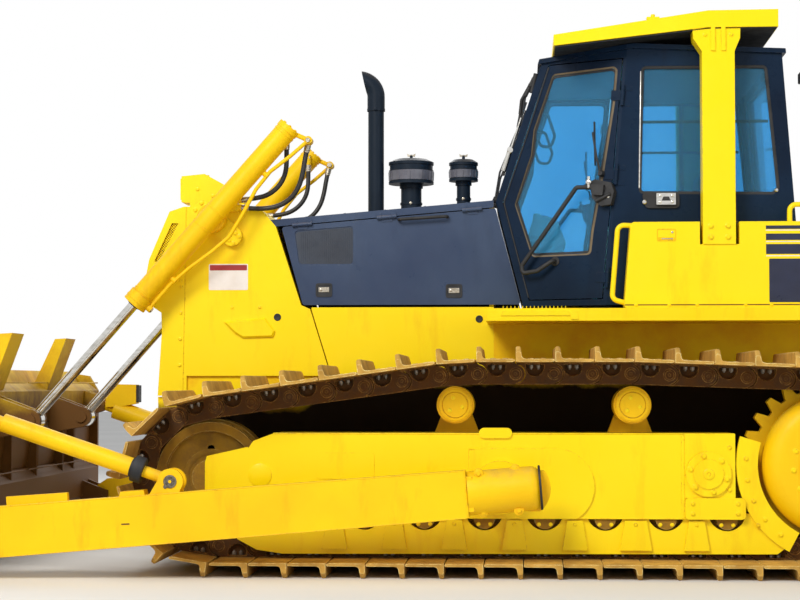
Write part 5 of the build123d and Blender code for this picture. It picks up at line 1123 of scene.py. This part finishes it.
def superstructure():
    stripes, pale = Shape(), Shape()
    for low, high in ((1843, 1862), (1783, 1818), (1707, 1761)):
        stripes.box(-2062, -1852, 894.6, 896, low, high)
    stripes.both("box_stripes", "stripe")
    for z in (1839, 1777, 1700):
        pale.box(-2062, -1852, 894.6, 895.8, z - 5, z)
    pale.both("box_pale_lines", "plate")
    Shape().panel([(-1868, 1682), (-2062, 1682), (-2062, 1446), (-1868, 1446)], 894.5, 2, 5).both(
        "blank_dark_plates", "stripe")

    latch, pull, bolts, seam = Shape(), Shape(), Shape(), Shape()
    line = [(-1268, 895.5, 1844), (-1366, 895.5, 1844), (-1366, 895.5, 1782), (-1268, 895.5, 1782)]
    latch.sweep(rounded(line, 6, 3, closed=True), [(1, -3), (1, 3), (-2, 3), (-2, -3)], closed=True)
    latch.box(-1362, -1272, 894, 896.5, 1786, 1800)
    latch.both("box_latch_rims", "yellow_low", bevel=0.6)
    pull.box(-1352, -1290, BOX_Y, BOX_Y + 4, 1790, 1795)
    pull.lathe((-1348, BOX_Y, 1828), OUT, [(0, 6), (3, 6), (4, 4)], 14)
    pull.both("box_latches", "bright", bevel=1)
    bolts.bolts(OUT, 7, *[(x, BOX_Y, 1432) for x in (-1150, -1330, -1480, -1740, -1880, -2040)])
    bolts.bolts(OUT, 12, *[(x, POST_Y, z) for x in (-1648, -1555) for z in (1800, 1860)])
    bolts.bolts(OUT, 9, *[(x, POST_Y, 2905) for x in (-1672, -1531)])
    bolts.both("box_bolts", "yellow")
    seam.box(-2060, -1090, 894, 896, 1430, 1436)
    seam.box(-1700, -1688, 770, 894, 1884, 1888)
    seam.both("box_seams", "shadow")

    under, lump, treads, step = Shape(), Shape(), Shape(), Shape()
    for (x0, z0), (x1, z1) in (((-716, 2850), (-1548, 2942)), ((-1548, 2942), (-1920, 2944.5))):
        under.prism([(x0, -905, z0), (x0, 905, z0), (x1, 905, z1), (x1, -905, z1)], (0, 0, -5))
    under.make("roof_lining", "dark")
    lump.box(-1285, -1215, 870, 912, 2990, 3006)
    lump.rod((-1250, 890, 2996), (-1250, 890, 3022), 12)
    lump.both("roof_eyes", "yellow", bevel=3)
    for x in range(-390, -1060, -51):
        for y in (800, 900):
            for bar in (((x, -14), (x + 7, -8), (x + 28, 14), (x + 21, 20)),
                        ((x - 25, 14), (x - 18, 20), (x + 3, -8), (x - 4, -14))):
                treads.prism([(at, y + off, TREAD_Z) for at, off in bar], (0, 0, 3))
    treads.both("step_tread", "yellow_low")
    for x in range(-430, -787, -21):
        step.side_plate([(x - 3, 1411), (x + 3, 1411), (x + 1.5, 1424), (x - 1.5, 1424)], 990, 1009)
    step.side_plate([(-418, 1372), (-790, 1372), (-778, 1398), (-430, 1398)], STEP_Y, STEP_Y + 8)
    step.side_plate([(-795, 1352), (-835, 1352), (-828, 1398), (-810, 1408), (-790, 1388)], STEP_Y, STEP_Y + 9)
    step.both("step_edge", "yellow", bevel=0.4)


# ---------------------------------------------------------------- on the hood
STACK_X = 333
# Pre-cleaners: x, bowl radius, bottom and top of the bowl, neck radius, height of the hood below.
PRECLEANERS = ((123, 128, 2206, 2304, 61, 2006), (-188, 80, 2221, 2300, 40, 2032))


def hood_top():
    pipe, bowls, rings, bright = Shape(), Shape(), Shape(), Shape()
    pipe.lathe((STACK_X, 0, 2628), UP, [(0, 47), (0, 54), (16, 54), (16, 47)], 32)
    pipe.lathe((STACK_X, 0, 2002), UP, [(0, 74), (5, 74), (9, 60), (24, 56), (26, 47)], 32)
    pipe.bolts(OUT, 7, (STACK_X, 56, 2636))
    pipe.bolts(UP, 6, *[(x, y, 2007) for x, y in arc(STACK_X, 0, 62, 45, 315, 3)])
    pipe.make("stack_clamp", "black", bevel=1)
    for x, bowl, low, high, neck, hood in PRECLEANERS:
        wall = bowl + 3
        waist = (high - low) * 0.58
        bowls.lathe((x, 0, low + 4), UP, [(0, bowl - 2), (0, wall), (waist, wall + 3), (waist, bowl - 2)], 48)
        for k in range(12):
            a = math.tau * k / 12
            foot, head = [(x + r * math.cos(a), r * math.sin(a)) for r in (wall, wall + 2)]
            bowls.rod((*foot, low + 5), (*head, low + waist), 3.5, 8)
        for z, inner, outer, tall, sides in ((low + (high - low) * 0.62, bowl - 2, bowl + 5, 6, 40),
                                             (hood + 60, neck - 1, neck + 5, 14, 32)):
            rings.lathe((x, 0, z), UP, [(0, inner), (0, outer), (tall, outer), (tall, inner)], sides)
        bright.lathe((x, 0, high + 48), UP, [(0, 7), (16, 7)], 10)
        wings = [(-22, 52), (22, 52), (26, 70), (8, 62), (-8, 62), (-26, 70)]
        bright.side_plate([(x + along, high + z) for along, z in wings], -4, 4)
        bright.bolts(OUT, 6, (x, neck + 4, hood + 67))
    bowls.make("precleaner_screens", "smoke", bevel=0.5)
    rings.make("precleaner_rings", "black", bevel=1)
    bright.make("precleaner_nuts", "bright", bevel=1)
    Shape().pipe([(165, 478, 1938), (165, 518, 1938), (-110, 518, 1954), (-110, 478, 1954)], 9.2, 22).each(
        "door_pull", "rubber", "engine_door", smooth=50)
    screen = Shape().panel([(762, 1872), (736, 1688), (430, 1688), (430, 1900)], 473.2, 1.6, 22, 4)
    for x in range(438, 732, 12):
        top = 1896 - (x - 430) * 0.085
        screen.box(x, x + 4, 474, 477, 1694, top)
    screen.each("door_screen", "hood_dark", "engine_door", bevel=0.5)


# ---------------------------------------------------------------- push arms and blade
ARM_ROOT = Vector((-415, 1560, 460))
ARM = Vector((2733, 0, -228)).normalized()
BRACE_ROOT = Vector((1264, 1590, 506))
BRACE = Vector((2345 - 1264, 0, 872 - 506)).normalized()
EDGE_DOWN, EDGE_OUT = Vector((60, 0, -188)).normalized(), Vector((188, 0, 60)).normalized()
EDGE_BOLTS = 20


def on_arm(along, above, y):
    """Point on the left push arm, from the middle of its socket."""
    square = Vector((-ARM.z, 0, ARM.x))
    return Vector((ARM_ROOT.x, y, ARM_ROOT.z)) + ARM * along + square * above


def working_end():
    """Bolts, welds, pins, nuts and other fittings of the arms, the tilt cylinder and the blade."""
    body = "blade_group"
    caps, boot, welds, marks, pins = Shape(), Shape(), Shape(), Shape(), Shape()
    for x, z in ((-307, 550), (-493, 571), (-332, 354), (-513, 365)):
        y = 1560 + math.sqrt(max(113 ** 2 - (abs(z - 460) * 0.98) ** 2, 400)) - 6
        caps.lathe((x, y - 30, z), OUT, [(0, 26), (34, 26), (37, 23)], 20)
        caps.bolts(OUT, 13, (x, y + 6, z))
    caps.both("socket_bolts", "yellow_low", body)
    # The black ring at the rear end of each socket is a rubber boot and also painted shade of the gap behind the
    # socket.
    boot.lathe(ARM_ROOT - ARM * 214, ARM, [(0, 106), (2, 113.5), (9, 114), (12, 111)], 40, 96)
    boot.both("socket_boots_and_shade", "rubber", body, smooth=50)
    for n in (-1, 1):
        welds.weld(4, on_arm(180, n * 119, 1654), on_arm(1200, n * 124, 1654), on_arm(2640, n * 128, 1654))
    welds.weld(5, on_arm(168, -118, 1656), on_arm(168, 118, 1656))
    welds.weld(5, on_arm(1650, 126, 1612), on_arm(1790, 126, 1612))
    welds.both("arm_welds", "yellow_low", body)
    marks.side_plate([(1512, 292), (1470, 294), (1470, 286), (1512, 284)], 1654, 1656)
    marks.both("arm_slots", "shadow", body)
    for x, z in ((1264, 506), (2345, 872)):
        pins.lathe((x, 1648, z), OUT, [(-4, 34), (6, 34), (9, 31), (9, 8), (5, 7)], 24)
        pins.bolts(OUT, 7, (x + 24, 1652, z - 26))
    pins.lathe((2318, 1698, 232), OUT, [(-4, 52), (8, 52), (11, 48), (11, 12), (6, 10)], 28)
    pins.both("arm_pins", "edge", body)

    nut, tilt, edge, ribs = Shape(), Shape(), Shape(), Shape()
    nut.lathe(BRACE_ROOT + BRACE * 155, BRACE, [(0, 48), (0, 66), (6, 69), (50, 69), (56, 66), (56, 48)])
    nut.lathe(BRACE_ROOT + BRACE * 209, BRACE, [(0, 52), (12, 52), (14, 49)], 28)
    nut.make("brace_nut", "dark", body, bevel=2)
    start = Vector((BRACE_ROOT.x, -BRACE_ROOT.y, BRACE_ROOT.z))
    tilt.lathe(start + BRACE * 400, BRACE, [(0, 34), (0, 66), (46, 69), (56, 69), (58, 66)], 32)
    # The dark plate on the rear end of the hose guard is painted shade of that rearward face.
    tilt.box(2060, 2079, -1640, -1540, 880, 996)
    tilt.make("tilt_cylinder_ends", "dark", body, bevel=2)
    Shape().rod(start + BRACE * 60, start + BRACE * 412, 31, 28).make("tilt_rod_chrome", "chrome", body)
    for k in range(EDGE_BOLTS):
        spot = Vector((2682, -1880 + k * 3760 / (EDGE_BOLTS - 1), 200)) + EDGE_DOWN * 70 + EDGE_OUT * 6
        edge.lathe(spot, EDGE_OUT, [(0, 17), (9, 17), (13, 12), (13, 6), (9, 5), (9, 0)], 16)
    edge.make("edge_bolts", "edge", body)
    for side in (1, -1):
        for z in (1012, 490):
            ribs.weld(5, (2431, side * 40, z), (2431, side * 1940, z))
        for y in (313, 993, 1303):
            ribs.weld(4.5, (2442, side * y, 500), (2442, side * y, 780))
    ribs.make("blade_welds", "blade", body)


# ---------------------------------------------------------------- front and rear ends
def ends():
    """Radiator core behind the grille, and the tank's and the cab's fittings behind."""
    core, bolts, tank, rails, trim = Shape(), Shape(), Shape(), Shape(), Shape()
    core.box(1449.5, 1453, -329, 329, 1041, 1819)
    for k in range(64):
        y = -322 + k * 10.2
        core.box(1452, 1455.5, y, y + 4, 1044, 1816)
    core.make("radiator_core", "dark")
    bolts.bolts((1, 0, 0), 8, *[(1488, y, z) for z in (1060, 1240, 1430, 1620, 1800) for y in (-344, 344)])
    bolts.make("grille_bolts", "yellow")
    tank.lathe((-2240, 360, 1904), UP, [(0, 72), (10, 72), (14, 60), (30, 60), (30, 66), (44, 66), (50, 56),
                                        (50, 0)], 36)
    tank.box(-2250, -2230, 330, 390, 1950, 1962)
    tank.bolts(UP, 12, *[(x, y, 1905) for y in (-560, 560) for x in (-2140, -2470)])
    tank.bolts((-1, 0, 0), 12, *[(-2560, y, z) for z in (1290, 1560, 1800) for y in (-640, 640)])
    tank.make("tank_fittings", "yellow_low", bevel=1)
    for side in (1, -1):
        rails.pipe([(-2340, side * y, z) for y, z in ((640, 1905), (640, 1975), (420, 1975), (420, 1905))], 12, 30)
    rails.make("tank_rails", "yellow_low", smooth=50)
    trim.box(-2110, -2096, 430, 570, 2700, 2760)
    trim.both("rear_cab_trim", "rubber", bevel=4)


for build in (tracks, undercarriage, lift_cylinders, mesh_screen, guard_fittings, hood_fittings, seals,
              door_fittings, cab_fittings, interior, superstructure, hood_top, working_end, ends):
    build()


# ---------------------------------------------------------------- floor, light and camera
def aim(obj, ahead):
    """Turns a lamp or a camera to look along a direction."""
    obj.rotation_euler = ahead.to_track_quat("-Z", "Y").to_euler()


def area_light(name, place, target, size, power, tone=(1.0, 1.0, 1.0)):
    data = bpy.data.lights.new(name, "AREA")
    data.shape, data.energy, data.color = "RECTANGLE", power, tone
    data.size, data.size_y = size
    lamp = placed(name, data)
    lamp.location = place
    aim(lamp, Vector(target) - Vector(place))


def studio():
    mesh = bpy.data.meshes.new("floor")
    reach = 60.0
    mesh.from_pydata([(-reach, -reach, 0), (reach, -reach, 0), (reach, reach, 0), (-reach, reach, 0)], [],
                     [(0, 1, 2, 3)])
    look = Look("studio_floor")
    look.set(Base_Color=look.mix(look.patches(0.6, 4, 0.5, 0.3, 0.7), (236, 234, 230), (228, 226, 222)),
             Roughness=0.85)
    mesh.materials.append(look.mat)
    placed("floor", mesh)

    # The sky lights the scene, and is white where a camera, glossy or transmitted ray meets it.
    world = bpy.data.worlds.new("studio")
    bpy.context.scene.world = world
    world.use_nodes = True
    tree = world.node_tree
    light = tree.nodes["Background"]
    seen, path, blend, either, any_ray = (
        tree.nodes.new(f"ShaderNode{kind}") for kind in ("Background", "LightPath", "MixShader", "Math", "Math"))
    either.operation = any_ray.operation = "MAXIMUM"
    for node, tone, strength in ((light, (0.93, 0.96, 1.0, 1.0), 0.46), (seen, (1.0, 1.0, 1.0, 1.0), 1.0)):
        node.inputs[0].default_value, node.inputs[1].default_value = tone, strength
    for node, output, target, slot in (
        (path, "Is Camera Ray", either, 0), (path, "Is Glossy Ray", either, 1), (either, 0, any_ray, 0),
        (path, "Is Transmission Ray", any_ray, 1), (any_ray, 0, blend, 0), (light, 0, blend, 1), (seen, 0, blend, 2),
        (blend, 0, tree.nodes["World Output"], 0),
    ):
        tree.links.new(node.outputs[output], target.inputs[slot])

    area_light("key", (3.5, 9.5, 7.5), (0.0, 0.5, 1.2), (3.6, 3.6), 900, (1.0, 0.97, 0.92))
    area_light("fill", (-7.0, 8.0, 4.0), (-0.5, 0.5, 1.2), (6.0, 5.0), 130, (0.93, 0.97, 1.0))
    area_light("rim", (1.0, -8.0, 7.0), (0.0, 0.0, 1.5), (6.0, 4.0), 330)


def camera():
    """The photograph's view: low, level with the hull, with a long lens."""
    data = bpy.data.cameras.new("camera")
    data.sensor_width, data.lens, data.clip_end = 36.0, 87.255, 200.0
    eye = placed("camera", data)
    eye.location = (-0.52, 11.48, 1.0)
    yaw, pitch = math.radians(3.54), math.radians(2.5)
    aim(eye, Vector((math.sin(yaw) * math.cos(pitch), -math.cos(yaw) * math.cos(pitch), math.sin(pitch))))
    bpy.context.scene.camera = eye


studio()
camera()
bpy.context.scene.view_settings.view_transform = "Standard"
